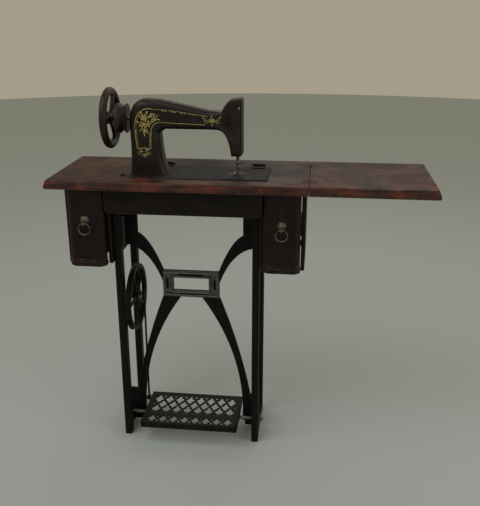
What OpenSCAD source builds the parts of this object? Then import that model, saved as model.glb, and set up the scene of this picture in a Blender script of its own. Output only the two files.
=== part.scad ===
// Treadle sewing machine: a black cast head on a wooden table with two hanging drawers,
// carried by two iron side frames, a curved cross brace and a lattice treadle.
// Millimetres. X runs along the table, Y towards the back, Z up from the floor.

/* [Table] */
// Length of the whole table top with the leaf open
table_l = 970; // [900:1:1060]
// Depth of the table top
table_d = 296; // [285:1:340]
// Height of the table surface above the floor
table_h = 770; // [740:1:800]
// Thickness of the table top
top_t = 22; // [18:1:28]
// How far the bottom edge of the top runs out past its surface
edge_flare = 6; // [0:1:10]
// Length of the folding leaf
leaf_l = 309; // [280:1:320]

/* [Stand] */
// Distance from the table's middle to the stand's middle, to the left
stand_off = 141; // [120:1:160]
// Width of the stand over the legs
stand_w = 388; // [376:1:400]
// Depth of the stand over the legs
stand_d = 184; // [170:1:210]
// Width of a leg
leg_w = 19; // [14:1:22]
// Depth of a leg
leg_d = 28; // [20:1:34]
// Thickness of the cross brace plate
brace_t = 10; // [6:1:12]
// Height of the brace's lower ends above the floor
brace_low = 28; // [20:1:40]

/* [Treadle] */
// Width of the treadle plate
treadle_w = 274; // [220:1:280]
// Depth of the treadle plate
treadle_d = 165; // [150:1:190]
// Height of the treadle's surface above the floor
treadle_h = 70; // [60:1:90]
// Diameter of the treadle rod
rod_d = 10; // [8:0.5:12]

/* [Drive wheel] */
// Diameter of the drive wheel under the table
wheel_d = 190; // [150:1:200]
// Height of the wheel's axle above the floor
wheel_z = 400; // [360:1:430]
// Throw of the crank pin
crank_r = 22; // [15:1:25]

/* [Drawers] */
// Width of a drawer front
drawer_w = 94; // [84:1:100]
// Height of a drawer front with its moulding
drawer_h = 206; // [160:1:230]
// Depth of a drawer box
drawer_d = 190; // [150:1:200]
// Width of the ring pull over its wire
ring_w = 34; // [26:1:40]

/* [Head] */
// Length of the bed plate
bed_l = 353; // [350:1:372]
// Depth of the bed plate
bed_d = 152; // [145:1:160]
// Height of the arm shaft above the bed
arm_z = 137; // [130:1:140]
// Diameter of the handwheel
hand_d = 156; // [130:1:165]
// Diameter of the belt pulley
pulley_d = 76; // [60:1:80]
// Diameter of the main shaft
shaft_d = 12; // [10:0.5:14]

/* [Hidden] */
$fn = 48;
gap = 0.3;            // gap between pieces that move past each other
run = 0.05;           // radial clearance of a running fit
// table
top_z0 = table_h - top_t;
leaf_x = table_l/2 - leaf_l;
front_y = -table_d/2;
leaf_hinge_y = [-110, 76];                 // front end of each leaf hinge
leaf_hinge_l = 34;
// stand
stand_x = -stand_off;
leg_x = stand_w/2;                 // outer face of a leg, from the stand's middle
leg_y = stand_d/2;                 // outer face of a leg, from the table's middle
rail_w = 13;
brace_y = -28;                     // front face of the brace
lug_y = brace_y + brace_t;         // front face of the lugs that carry the brace
lug_t = 10;
lug_in = leg_x - 45;               // inner end of a lug
flange_y = [-leg_y + leg_d + 11, leg_y - leg_d - 11];
screw_x = leg_x - 18;
screw_r = 2.5;
screw_deep = 8;                    // how far the screws reach into the table top
apron_x = [stand_x - leg_x - 8, stand_x + leg_x + 8];
apron_z0 = top_z0 - 66;
pad_out = leg_x - 15;
pad_in = pad_out - 35;
brace_top_in = top_z0 - 148;        // where the upper arms run into their pads
brace_top_low = top_z0 - 182;
badge_w = 157;                     // width of the brace's middle frame
badge_z = [418, 494];
brace_bolts = [[pad_out-17, brace_low+22], [pad_out-17, brace_low+62],
               [pad_out-16, top_z0-86], [pad_out-16, top_z0-36]];
// treadle
treadle_y = [-129, treadle_d-129];
pivot_y = -46;
pivot_z = treadle_h - 20;
treadle_x = stand_x - treadle_w/2;
rail_h = 19;
hole_pitch = treadle_w/8.8;                // from one lattice hole to the next
stud_y = pivot_y + 66;
stud_r = 4;
// drive wheel
wheel_x = stand_x - leg_x + leg_w + 4;     // left face of the wheel
wheel_t = 15;
wheel_y = stud_y - crank_r;
axle_r = 6;
pitman_x = treadle_x - 13;                 // left face of the pitman
pitman_t = 6;
// drawers
drawer_c = leg_x + 58.5;                    // middle of a drawer, from the stand's middle
drawer_y = -136;                           // face of a drawer front
front_t = 25;
front_z = [top_z0 - 4 - drawer_h, top_z0 - 4];
plinth_h = 19;
box_w = 80;
box_t = 8;
box_z = [front_z[0] + plinth_h + 3, front_z[1] - 9];
hang_t = 10;
hang_in = drawer_w/2 + 1.5;                // inner face of a hanger, from the drawer's middle
hang_y = [-105, 95];
hang_z = front_z[0];
runner_z = [front_z[0] + 92, front_z[0] + 101];
ring_r = ring_w/2 - 2;
ring_t = 2;
pull_z = front_z[0] + plinth_h + 101;      // pin line of the ring pull
pull_y = drawer_y - 8;
// head
bed_x = [70 - bed_l, 70];
bed_y = [-100, bed_d - 100];
bed_z = table_h + 2;
well_x = [bed_x[0] + 8, stand_x + leg_x - 29];   // opening through the table under the bed
bed_t = 13;
arm_y = -24;
shaft_z = bed_z + arm_z;
shaft_r = shaft_d/2;
hinge_y = bed_y[1] + 5;
hinge_r = 4;
hinge_z = bed_z + hinge_r;
hinge_at = [-230, 20];                     // left end of each bed hinge
hinge_l = 34;
pillar_x = [-287, -209];
face_x = 2;
needle_x = -11;
needle_y = -31;
presser_y = -13;
bar_r = 3;                                 // needle bar and presser bar
rim_r = 10;                                // handwheel rim
upright_x = -250;                          // upright shaft inside the pillar
lower_z = bed_z - 30;                      // hook shaft under the bed
wheel_hub_x = pillar_x[0] - 10;            // right face of the pulley
hand_x = wheel_hub_x - 36;                 // right face of the rim
slide_x = [-50, 66];
slide_y = [-96, -52];
plate_t = 1.4;

// ---- helpers ----
module block(lo, hi) {
    translate(lo) cube(hi - lo);
}

module xcyl(r, x0, x1, y, z) {
    translate([x0, y, z]) rotate([0, 90, 0]) cylinder(r=r, h=x1-x0);
}

module ycyl(r, x, y0, y1, z) {
    translate([x, y0, z]) rotate([-90, 0, 0]) cylinder(r=r, h=y1-y0);
}

module zcyl(r, x, y, z0, z1) {
    translate([x, y, z0]) cylinder(r=r, h=z1-z0);
}

// a flat outline in X and Z, given thickness along Y from y0 backwards
module xz_plate(y0, t) {
    translate([0, y0+t, 0]) rotate([90, 0, 0]) linear_extrude(t) children();
}

// a flat outline in Y and Z, given thickness along X from x0 rightwards
module yz_plate(x0, t) {
    translate([x0, 0, 0]) rotate([90, 0, 90]) linear_extrude(t) children();
}

// points along a curve from a to b, pulled towards c
function bend(a, c, b, n=8) =
    [for (i = [0:n]) let (t = i/n) (1-t)*(1-t)*a + 2*t*(1-t)*c + t*t*b];

function flip(pts) = [for (i = [len(pts)-1:-1:0]) pts[i]];

module rounded(lo, hi, r) {
    translate(lo + [r, r]) square(hi - lo - [2*r, 2*r]);
    translate([lo[0] + r, lo[1]]) square([hi[0]-lo[0]-2*r, hi[1]-lo[1]]);
    translate([lo[0], lo[1] + r]) square([hi[0]-lo[0], hi[1]-lo[1]-2*r]);
    for (x = [lo[0]+r, hi[0]-r], y = [lo[1]+r, hi[1]-r]) translate([x, y]) circle(r);
}

// half of a butt hinge: knuckles along X with a leaf on one side (side = 1 back, -1 front)
module hinge_half(l, r, bore, leaf_w, leaf_t, leaf_low, side, odd) {
    n = 5;
    step = l/n;
    difference() {
        union() {
            for (i = [0:n-1]) if (i % 2 == odd) {
                xcyl(r, i*step + gap/2, (i+1)*step - gap/2, 0, 0);
                block([i*step + gap/2, min(0, side*leaf_w), leaf_low],
                      [(i+1)*step - gap/2, max(0, side*leaf_w), leaf_low + leaf_t]);
            }
            block([gap, min(side*(r+0.6), side*leaf_w), leaf_low],
                  [l - gap, max(side*(r+0.6), side*leaf_w), leaf_low + leaf_t]);
        }
        xcyl(bore, -1, l+1, 0, 0);
    }
}

// ---- table ----
// outline of a table board seen from the front: flared edge at one end only
module board_profile(square_x, end_x, out) {
    polygon([[square_x, top_z0], [end_x + out*edge_flare, top_z0],
             [end_x + out*edge_flare, top_z0 + 7], [end_x, table_h], [square_x, table_h]]);
}

// outline of a table board seen from the end: flared front and back edges
module depth_profile() {
    polygon([[front_y - edge_flare, top_z0], [-front_y + edge_flare, top_z0],
             [-front_y + edge_flare, top_z0 + 7], [-front_y, table_h],
             [front_y, table_h], [front_y - edge_flare, top_z0 + 7]]);
}

module board(square_x, end_x, out) {
    intersection() {
        xz_plate(front_y - edge_flare, table_d + 2*edge_flare) board_profile(square_x, end_x, out);
        yz_plate(min(square_x, end_x + out*edge_flare), abs(end_x + out*edge_flare - square_x))
            depth_profile();
    }
}

module leaf_hinge_notches() {
    for (y = leaf_hinge_y)
        block([leaf_x - 22, y - gap, table_h - 4.6], [leaf_x + 22, y + leaf_hinge_l + gap, table_h + 1]);
}

module table_top() {
    color("#4a2a22") difference() {
        board(leaf_x - gap, -table_l/2, -1);
        block([well_x[0], bed_y[0] + 8, top_z0 - 1], [well_x[1], bed_y[1] - 4, table_h + 1]);
        block([bed_x[0] - 1.5, bed_y[0] - 1.5, bed_z - bed_t],
              [bed_x[1] + 1.5, bed_y[1] + 1.5, table_h + 1]);
        leaf_hinge_notches();
        for (y = [wheel_y - 70, wheel_y + 39])
            belt_slot(wheel_x + wheel_t/2, y);
        for (s = [-1, 1], y = flange_y)
            zcyl(screw_r, stand_x + s*screw_x, y, top_z0 - 1, top_z0 + screw_deep);
    }
}

// slot that lets the drive belt through the table
module belt_slot(x, y) {
    translate([0, 0, top_z0 - 1]) linear_extrude(top_t + 2)
        rounded([x - 6, y - 10], [x + 6, y + 10], 5);
}

module table_leaf() {
    color("#4a2a22") difference() {
        board(leaf_x + gap, table_l/2, 1);
        leaf_hinge_notches();
    }
}

// leaf hinges lie in notches, flush with the surface, their pins along Y
module leaf_hinge_place() {
    for (y = leaf_hinge_y) translate([leaf_x, y, table_h]) rotate([0, 0, 90]) children();
}

module leaf_hinge_fixed() {
    color("#6e5a34") leaf_hinge_place() hinge_half(leaf_hinge_l, 3, 1.5, 20, 2, -2.9, 1, 0);
}

module leaf_hinge_moving() {
    color("#6e5a34") leaf_hinge_place() hinge_half(leaf_hinge_l, 3, 1.5 + run, 20, 2, -2.9, -1, 1);
}

module leaf_hinge_pins() {
    color("#7c6840") leaf_hinge_place() xcyl(1.5, 0, leaf_hinge_l, 0, 0);
}

module apron_front() {
    color("#33201c") xz_plate(-128, 12)
        polygon([[apron_x[0], apron_z0 + 8], [apron_x[0] + 6, apron_z0],
                 [apron_x[1] - 6, apron_z0], [apron_x[1], apron_z0 + 8],
                 [apron_x[1], top_z0], [apron_x[0], top_z0]]);
}

module apron_rear() {
    color("#33201c") xz_plate(104, 12) polygon([[apron_x[0], apron_z0], [apron_x[1], apron_z0],
                 [apron_x[1], top_z0], [apron_x[0], top_z0]]);
}

// ---- drawers, built round their own middle and placed on each side ----
module on_left() {
    translate([stand_x - drawer_c, 0, 0]) children();
}

module on_right() {
    translate([stand_x + drawer_c, 0, 0]) children();
}

module drawer_case() {
    color("#2b1c19") {
        for (s = [-1, 1]) {
            translate([s*(hang_in + hang_t/2), 0, 0])
                block([-hang_t/2, hang_y[0], hang_z], [hang_t/2, hang_y[1], top_z0]);
            block([s > 0 ? box_w/2 - 3 : -hang_in - 1, hang_y[0] + 6, runner_z[0]],
                  [s > 0 ? hang_in + 1 : -box_w/2 + 3, hang_y[1] - 4, runner_z[1]]);
        }
        block([-hang_in - 1, hang_y[1] - 10, hang_z + 2], [hang_in + 1, hang_y[1], hang_z + 18]);
    }
}

module drawer_box() {
    color("#4d3527") difference() {
        block([-box_w/2, drawer_y + front_t, box_z[0]],
              [box_w/2, drawer_y + front_t + drawer_d, box_z[1]]);
        block([-box_w/2 + box_t, drawer_y + front_t + box_t, box_z[0] + 5],
              [box_w/2 - box_t, drawer_y + front_t + drawer_d - box_t, box_z[1] + 1]);
        for (s = [-1, 1])
            block([s > 0 ? box_w/2 - 4 : -box_w/2 - 1, drawer_y + front_t - 1, runner_z[0] - 0.5],
                  [s > 0 ? box_w/2 + 1 : -box_w/2 + 4, drawer_y + front_t + drawer_d + 1,
                   runner_z[1] + 0.5]);
    }
}

module drawer_front() {
    color("#3d2723") translate([0, 0, front_z[0] + plinth_h])
        linear_extrude(front_z[1] - front_z[0] - plinth_h)
            polygon([[-drawer_w/2, drawer_y + front_t], [-drawer_w/2, drawer_y + 11],
                     [-drawer_w/2 + 12, drawer_y], [drawer_w/2 - 12, drawer_y],
                     [drawer_w/2, drawer_y + 11], [drawer_w/2, drawer_y + front_t]]);
}

module drawer_plinth() {
    color("#241715") translate([0, 0, front_z[0]]) linear_extrude(plinth_h)
        polygon([[-drawer_w/2 - 1.5, drawer_y + front_t], [-drawer_w/2 - 1.5, drawer_y + 10],
                 [-drawer_w/2 + 11, drawer_y - 2.5], [drawer_w/2 - 11, drawer_y - 2.5],
                 [drawer_w/2 + 1.5, drawer_y + 10], [drawer_w/2 + 1.5, drawer_y + front_t]]);
}

// round back plate with a drilled ear that holds the ring
module pull_rosette() {
    color("#6b6256") {
        difference() {
            union() {
                ycyl(11, 0, drawer_y - 3, drawer_y, pull_z + 8);
                ycyl(6, 0, drawer_y - 5, drawer_y - 2.5, pull_z + 9);
                block([-2, pull_y - 4.6, pull_z - 4.6], [2, drawer_y, pull_z + 4.6]);
            }
            xcyl(ring_t + 0.7, -3, 3, pull_y, pull_z);
        }
    }
}

module pull_ring() {
    color("#7a7166") translate([0, pull_y, pull_z - ring_r]) rotate([90, 0, 0])
        rotate_extrude() translate([ring_r, 0]) circle(ring_t);
}

// ---- stand ----
// one side frame, drawn for the left side from the stand's middle
module side_frame() {
    leg_in = leg_x - leg_w;
    for (y = [-leg_y, leg_y - leg_d])
        block([-leg_x, y, 0], [-leg_in, y + leg_d, top_z0]);
    block([-leg_x, -leg_y + 1, brace_low - 20], [-leg_x + rail_w, leg_y - 1, brace_low]);
    block([-leg_x, -leg_y + 1, top_z0 - 30], [-leg_x + rail_w, leg_y - 1, top_z0]);
    for (z = [[brace_low - 20, brace_low + 82], [top_z0 - 106, top_z0]])
        block([-leg_x, lug_y, z[0]], [-lug_in, lug_y + lug_t, z[1]]);
    // ear for the treadle rod
    block([-leg_x, pivot_y - 11, brace_low - 6], [-leg_x + rail_w, pivot_y + 11, pivot_z + 12]);
    // flanges screwed up under the table
    for (y = [-leg_y + leg_d - 1, leg_y - leg_d - 23])
        block([-leg_x, y, top_z0 - 6], [-leg_x + 24, y + 24, top_z0]);
}

module side_frame_holes() {
    xcyl(rod_d/2, -leg_x - 1, -leg_x + rail_w + 1, pivot_y, pivot_z);
    for (b = brace_bolts) ycyl(3.5, -b[0], lug_y - 1, lug_y + lug_t + 1, b[1]);
    for (y = flange_y) zcyl(screw_r, -screw_x, y, top_z0 - 7, top_z0 + 1);
}

module left_side_frame() {
    color("#1a1614") translate([stand_x, 0, 0]) difference() {
        union() {
            side_frame();
            block([-leg_x, -leg_y + leg_d - 1, wheel_z - 9], [-leg_x + rail_w, leg_y - leg_d + 1, wheel_z + 9]);
            xcyl(15, -leg_x, -leg_x + rail_w + 2, wheel_y, wheel_z);
        }
        side_frame_holes();
        xcyl(axle_r, -leg_x - 1, -leg_x + rail_w + 3, wheel_y, wheel_z);
    }
}

module right_side_frame() {
    color("#1a1614") translate([stand_x, 0, 0]) mirror([1, 0, 0]) difference() {
        side_frame();
        side_frame_holes();
    }
}

module frame_screws() {
    color("#4a453f") for (s = [-1, 1], y = flange_y) {
        x = stand_x + s*screw_x;
        zcyl(screw_r, x, y, top_z0 - 7, top_z0 + screw_deep);
        zcyl(4.5, x, y, top_z0 - 9, top_z0 - 6);
    }
}

// one quarter arm of the brace above and below its middle frame, as outlines in X and Z
module brace_outline() {
    half = badge_w/2;
    polygon(concat(
        bend([half - 2, badge_z[1]], [half + 33, badge_z[1] + 91], [pad_in, brace_top_in]),
        [[pad_in, top_z0 - 14], [pad_out, top_z0 - 14], [pad_out, brace_top_low]],
        flip(bend([half - 2, badge_z[0] + 34], [half + 35, badge_z[1] + 66], [pad_out, brace_top_low]))));
    polygon(concat(
        bend([half, badge_z[0] + 3], [half + 71, badge_z[0] - 178], [pad_out, brace_low + 12]),
        [[pad_out, brace_low], [pad_in, brace_low]],
        flip(bend([half - 52, badge_z[0] + 3], [half + 73, badge_z[0] - 171], [pad_in, brace_low + 6]))));
}

module badge_ring(grow) {
    difference() {
        translate([-badge_w/2, badge_z[0]]) square([badge_w, badge_z[1] - badge_z[0]]);
        translate([-badge_w/2 + 29 - grow, badge_z[0] + 18 - grow])
            square([badge_w - 58 + 2*grow, badge_z[1] - badge_z[0] - 38 + 2*grow]);
    }
}

module cross_brace() {
    color("#1c1815") translate([stand_x, 0, 0]) difference() {
        xz_plate(brace_y, brace_t) {
            brace_outline();
            mirror([1, 0]) brace_outline();
            badge_ring(0);
        }
        for (s = [-1, 1], b = brace_bolts) ycyl(3.5, s*b[0], brace_y - 1, brace_y + brace_t + 1, b[1]);
    }
}

// raised moulded frame on the front of the brace's middle
module brace_badge_frame() {
    color("#5c5a55") translate([stand_x, 0, 0]) {
        xz_plate(brace_y - 4, 4) badge_ring(0);
        xz_plate(brace_y - 7, 3.5) difference() {
            translate([-badge_w/2 + 5, badge_z[0] + 4])
                square([badge_w - 10, badge_z[1] - badge_z[0] - 8]);
            translate([-badge_w/2 + 24, badge_z[0] + 14])
                square([badge_w - 48, badge_z[1] - badge_z[0] - 30]);
        }
    }
}

module brace_bolts() {
    color("#3a3530") translate([stand_x, 0, 0]) for (s = [-1, 1], b = brace_bolts) {
        ycyl(3.5, s*b[0], brace_y - 1, lug_y + lug_t + 8, b[1]);
        ycyl(6, s*b[0], brace_y - 5, brace_y, b[1]);
        translate([s*b[0], lug_y + lug_t + 5, b[1]]) rotate([90, 0, 0])
            cylinder(r=7, h=5, $fn=6);
    }
}

// ---- treadle ----
module lattice_holes() {
    r = hole_pitch*0.44;
    rows = [[treadle_y[0] + 25, 8], [treadle_y[0] + 67, 8], [treadle_y[0] + 98, 7],
            [treadle_y[0] + 129, 8]];
    for (row = rows, i = [0:row[1]-1])
        translate([stand_x + (i - (row[1]-1)/2)*hole_pitch, row[0], treadle_h - 20])
            cylinder(r=r, h=30, $fn=6);
}

module treadle_plate() {
    w = treadle_w;
    color("#1f1a17") difference() {
        union() {
            block([treadle_x, treadle_y[0], treadle_h - 7], [treadle_x + w, treadle_y[1], treadle_h]);
            block([treadle_x, treadle_y[0], treadle_h - rail_h],
                  [treadle_x + w, treadle_y[0] + 7, treadle_h]);
            block([treadle_x, treadle_y[1] - 7, treadle_h - rail_h],
                  [treadle_x + w, treadle_y[1], treadle_h]);
            for (x = [treadle_x, treadle_x + w - 7]) {
                block([x, treadle_y[0], treadle_h - rail_h], [x + 7, treadle_y[1], treadle_h]);
                xcyl(11, x, x + 7, pivot_y, pivot_z);
                block([x, pivot_y - 11, pivot_z], [x + 7, pivot_y + 11, treadle_h - 1]);
            }
            // solid bar between the two fields of the lattice
            block([treadle_x, treadle_y[0] + 43, treadle_h - 12],
                  [treadle_x + w, treadle_y[0] + 49, treadle_h]);
        }
        lattice_holes();
        xcyl(rod_d/2 + run, treadle_x - 1, treadle_x + w + 1, pivot_y, pivot_z);
        xcyl(stud_r, treadle_x - 1, treadle_x + 8, stud_y, treadle_h - 11);
    }
}

module treadle_rod() {
    color("#4a4540") xcyl(rod_d/2, stand_x - leg_x - 11, stand_x + leg_x + 11, pivot_y, pivot_z);
}

module treadle_rod_nuts() {
    color("#3a3530") for (x = [stand_x - leg_x - 7, stand_x + leg_x])
        difference() {
            translate([x, pivot_y, pivot_z]) rotate([0, 90, 0]) cylinder(r=10, h=7, $fn=6);
            xcyl(rod_d/2, x - 1, x + 8, pivot_y, pivot_z);
        }
}

// plain stud on the treadle's left rail that carries the pitman
module treadle_stud() {
    color("#4a4540") {
        xcyl(stud_r, treadle_x - 15, treadle_x + 7, stud_y, treadle_h - 11);
        xcyl(6.5, treadle_x - 5, treadle_x, stud_y, treadle_h - 11);
        xcyl(6.5, treadle_x - 17, pitman_x - gap, stud_y, treadle_h - 11);
    }
}

module pitman() {
    z0 = treadle_h - 11;
    color("#2a2420") difference() {
        union() {
            xcyl(9, pitman_x, pitman_x + pitman_t, stud_y, z0);
            xcyl(9, pitman_x, pitman_x + pitman_t, stud_y, wheel_z);
            block([pitman_x + 0.5, stud_y - 4.5, z0 + 5], [pitman_x + pitman_t - 0.5, stud_y + 4.5, wheel_z - 5]);
        }
        xcyl(stud_r + run, pitman_x - 1, pitman_x + pitman_t + 1, stud_y, z0);
        xcyl(stud_r + run, pitman_x - 1, pitman_x + pitman_t + 1, stud_y, wheel_z);
    }
}

// ---- drive wheel ----
module drive_wheel() {
    r = wheel_d/2;
    color("#1a1614") translate([wheel_x, wheel_y, wheel_z]) rotate([0, 90, 0]) difference() {
        union() {
            rotate_extrude() polygon([[r-13, 2], [r-3, 0], [r, 0], [r-4, wheel_t/2-2],
                [r-4, wheel_t/2+2], [r, wheel_t], [r-3, wheel_t], [r-13, wheel_t-2]]);
            cylinder(r=15, h=wheel_t);
            for (i = [0:4]) rotate([0, 0, 72*i]) translate([12, -5, 3]) cube([r-22, 10, wheel_t-6]);
            // boss for the crank pin
            rotate([0, 0, 90]) translate([crank_r, 0, 0]) cylinder(r=9, h=wheel_t);
        }
        translate([0, 0, -1]) cylinder(r=axle_r + run, h=wheel_t+2);
        rotate([0, 0, 90]) translate([crank_r, 0, 0]) translate([0, 0, -1]) cylinder(r=stud_r, h=wheel_t+2);
    }
}

module wheel_axle() {
    color("#4a4540") {
        xcyl(axle_r, stand_x - leg_x - 3, wheel_x + wheel_t + 1, wheel_y, wheel_z);
        xcyl(11, stand_x - leg_x - 6, stand_x - leg_x, wheel_y, wheel_z);
    }
}

module crank_pin() {
    color("#4a4540") xcyl(stud_r, wheel_x, pitman_x - 0.4, wheel_y + crank_r, wheel_z);
}

// ---- bed ----
module bed() {
    color("#232a33") difference() {
        union() {
            translate([0, 0, bed_z - bed_t]) linear_extrude(bed_t)
                rounded([bed_x[0], bed_y[0]], [bed_x[1], bed_y[1]], 9);
            // hangers for the hook shaft
            for (x = [upright_x - 22, -68])
                block([x, arm_y - 14, lower_z - 11], [x + 8, arm_y + 14, bed_z - bed_t + 1]);
        }
        // hollow underside
        block([upright_x - 11, bed_y[0] + 14, bed_z - bed_t - 1], [-69, bed_y[1] - 14, bed_z - 5]);
        xcyl(shaft_r + run, upright_x - 23, -59, arm_y, lower_z);
        zcyl(20, upright_x, arm_y, bed_z - 14, bed_z + 1);
        // seat of the slide plate and the opening under it
        block([slide_x[0] - gap, bed_y[0] - 1, bed_z - plate_t - gap], [slide_x[1] + gap, slide_y[1] + gap, bed_z + 1]);
        block([slide_x[0] + 6, slide_y[0] + 10, bed_z - bed_t - 1], [slide_x[1] - 22, slide_y[1] - 6, bed_z]);
        // seat of the needle plate, its opening and the room for the hook
        zcyl(24, needle_x, needle_y + 6, bed_z - 2.4, bed_z + 1);
        zcyl(20, needle_x, needle_y + 6, bed_z - bed_t - 1, bed_z);
        block([-56, arm_y - 34, bed_z - bed_t - 1], [26, arm_y + 34, bed_z - 5]);
    }
}

module bed_hinge_place() {
    for (x = hinge_at) translate([x, hinge_y, hinge_z]) children();
}

module bed_hinge_fixed() {
    color("#4a4540") bed_hinge_place() {
        hinge_half(hinge_l, hinge_r - 0.4, 2, 24, 3.5, table_h - hinge_z, 1, 0);
    }
}

module bed_hinge_moving() {
    color("#4a4540") bed_hinge_place()
        hinge_half(hinge_l, hinge_r - 0.4, 2 + run, 24, 2.5, -hinge_r, -1, 1);
}

module bed_hinge_pins() {
    color("#6a655e") bed_hinge_place() xcyl(2, 0, hinge_l, 0, 0);
}

module slide_plate() {
    color("#3a4148") difference() {
        block([slide_x[0], slide_y[0], bed_z - plate_t], [slide_x[1], slide_y[1], bed_z]);
        // finger notch
        zcyl(5, (slide_x[0] + slide_x[1])/2, slide_y[0] - 2, bed_z - plate_t - 1, bed_z + 1);
    }
}

module needle_plate() {
    color("#8f8d86") difference() {
        zcyl(23.8, needle_x, needle_y + 6, bed_z - 2.4, bed_z);
        zcyl(1.5, needle_x, needle_y, bed_z - 3, bed_z + 1);
        for (x = [needle_x - 6, needle_x + 2])
            block([x, needle_y - 8, bed_z - 3], [x + 4, needle_y + 18, bed_z + 1]);
    }
}

module feed_dog() {
    color("#77736b") {
        for (x = [needle_x - 5.3, needle_x + 2.7])
            block([x, needle_y - 4, bed_z - 8], [x + 2.6, needle_y + 14, bed_z - 0.4]);
        block([needle_x - 7, needle_y + 4, bed_z - 10], [needle_x + 7, needle_y + 12, bed_z - 4]);
    }
}

// ---- arm ----
module arm_profile() {
    z = bed_z;
    polygon(concat(
        bend([pillar_x[0] - 4, z], [pillar_x[0], z + 20], [pillar_x[0], z + 80]),
        bend([pillar_x[0] - 2, z + 122], [pillar_x[0], z + 189], [pillar_x[0] + 44, z + 188]),
        bend([-206, z + 186], [-150, z + 176], [-84, z + 161]),
        bend([-50, z + 158], [-38, z + 190], [-18, z + 191], 6),
        [[face_x - 3, z + 193], [face_x - 3, z + 48], [-25, z + 48]],
        bend([-26, z + 52], [-34, z + 112], [-60, z + 113]),
        [[-196, z + 113]],
        bend([pillar_x[1], z + 104], [pillar_x[1] + 2, z + 30], [pillar_x[1] + 17, z])));
}

module arm_plan() {
    rounded([pillar_x[0] - 6, -56], [pillar_x[1] + 20, 8], 12);
    rounded([-230, -48], [-40, 0], 8);
    rounded([-62, -47], [face_x - 3, 3], 5);
}

module arm() {
    color("#17130f") difference() {
        intersection() {
            xz_plate(-60, 72) arm_profile();
            translate([0, 0, bed_z]) linear_extrude(200) arm_plan();
        }
        // bores for the main shaft bushes and the room round the shaft
        xcyl(shaft_r + 4, pillar_x[0] - 8, -20, arm_y, shaft_z);
        xcyl(16, upright_x - 20, -60, arm_y, shaft_z);
        zcyl(17, upright_x, arm_y, bed_z - 1, bed_z + 30);
        zcyl(5 + run, upright_x, arm_y, bed_z + 29, bed_z + 46);
        zcyl(17, upright_x, arm_y, bed_z + 45, shaft_z + 18);
        // room in the head for the needle bar, the presser bar and the crank
        block([-22, -43, bed_z + 60], [face_x - 2, -1, bed_z + 180]);
        for (y = [needle_y, presser_y]) zcyl(bar_r + run, needle_x, y, bed_z + 40, bed_z + 185);
        // slot for the take-up lever at the front, bore of the lifter at the back
        block([-8, -50, bed_z + 156], [face_x - 2, -40, bed_z + 179]);
        ycyl(4 + run, needle_x, -2, 5, bed_z + 75);
        // seat of the tension post
        ycyl(3, -36, -50, -40, bed_z + 134);
    }
}

module face_plate() {
    color("#6e6a62") yz_plate(face_x - 3, 3) rounded([-46, bed_z + 50], [2, bed_z + 190], 4);
}

module main_shaft() {
    color("#6a655e") {
        xcyl(shaft_r, hand_x - 26, -16, arm_y, shaft_z);
        translate([upright_x + 14.5, arm_y, shaft_z]) rotate([0, -90, 0]) cone_gear(13, 8, 5);
    }
}

module shaft_bushes() {
    color("#8a6f3c") for (x = [[pillar_x[0] - 2, pillar_x[0] + 16], [-48, -26]])
        difference() {
            xcyl(shaft_r + 4, x[0], x[1], arm_y, shaft_z);
            xcyl(shaft_r + run, x[0] - 1, x[1] + 1, arm_y, shaft_z);
        }
}

// ---- handwheel ----
module handwheel() {
    r = hand_d/2;
    color("#1b1613") translate([hand_x, arm_y, shaft_z]) rotate([0, -90, 0]) difference() {
        union() {
            rotate_extrude() translate([r - rim_r, 9]) circle(rim_r);
            cylinder(r=17, h=18);
            for (i = [0:2]) rotate([0, 0, 120*i + 30]) translate([13, -6.5, 3]) cube([r - 23, 13, 10]);
        }
        translate([0, 0, -1]) cylinder(r=shaft_r, h=20);
    }
}

module belt_pulley() {
    r = pulley_d/2;
    color("#1b1613") translate([hand_x, arm_y, shaft_z]) rotate([0, 90, 0])
        rotate_extrude() polygon([[shaft_r, 0], [22, 0], [r, 9], [r, 20], [r - 6, 26.5],
            [r - 6, 29.5], [r, 34], [r - 2, 36], [shaft_r, 36]]);
}

module clutch_knob() {
    color("#8b877e") translate([hand_x - 18 - gap, arm_y, shaft_z]) rotate([0, -90, 0]) difference() {
        union() {
            cylinder(r=15, h=6);
            cylinder(r=11, h=9);
            for (i = [0:11]) rotate([0, 0, 30*i]) translate([14.5, 0, 0]) cylinder(r=1.4, h=6);
        }
        translate([0, 0, -1]) cylinder(r=shaft_r + run, h=9);
    }
}

module needle_crank() {
    color("#6a655e") difference() {
        xcyl(14, -21, -16, arm_y, shaft_z);
        xcyl(shaft_r, -22, -15, arm_y, shaft_z);
    }
}

// ---- needle and presser ----
module needle_bar() {
    color("#a09c93") zcyl(bar_r, needle_x, needle_y, bed_z + 22, bed_z + 150);
}

module needle_clamp() {
    color("#8b877e") difference() {
        union() {
            zcyl(bar_r + 2, needle_x, needle_y, bed_z + 24, bed_z + 34);
            xcyl(2, needle_x, needle_x + 15, needle_y, bed_z + 29);
            xcyl(4, needle_x + 11, needle_x + 15, needle_y, bed_z + 29);
        }
        zcyl(bar_r, needle_x, needle_y, bed_z + 20, bed_z + 36);
    }
}

module needle() {
    color("#c0bdb4") {
        zcyl(1, needle_x, needle_y, bed_z + 8, bed_z + 22);
        translate([needle_x, needle_y, bed_z + 1]) cylinder(r1=0.2, r2=0.8, h=7.2);
    }
}

module presser_bar() {
    color("#a09c93") {
        zcyl(bar_r, needle_x, presser_y, bed_z + 16, bed_z + 160);
        block([needle_x - 6, presser_y - 6, bed_z + 84], [needle_x + 6, presser_y + 6, bed_z + 92]);
    }
}

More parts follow.
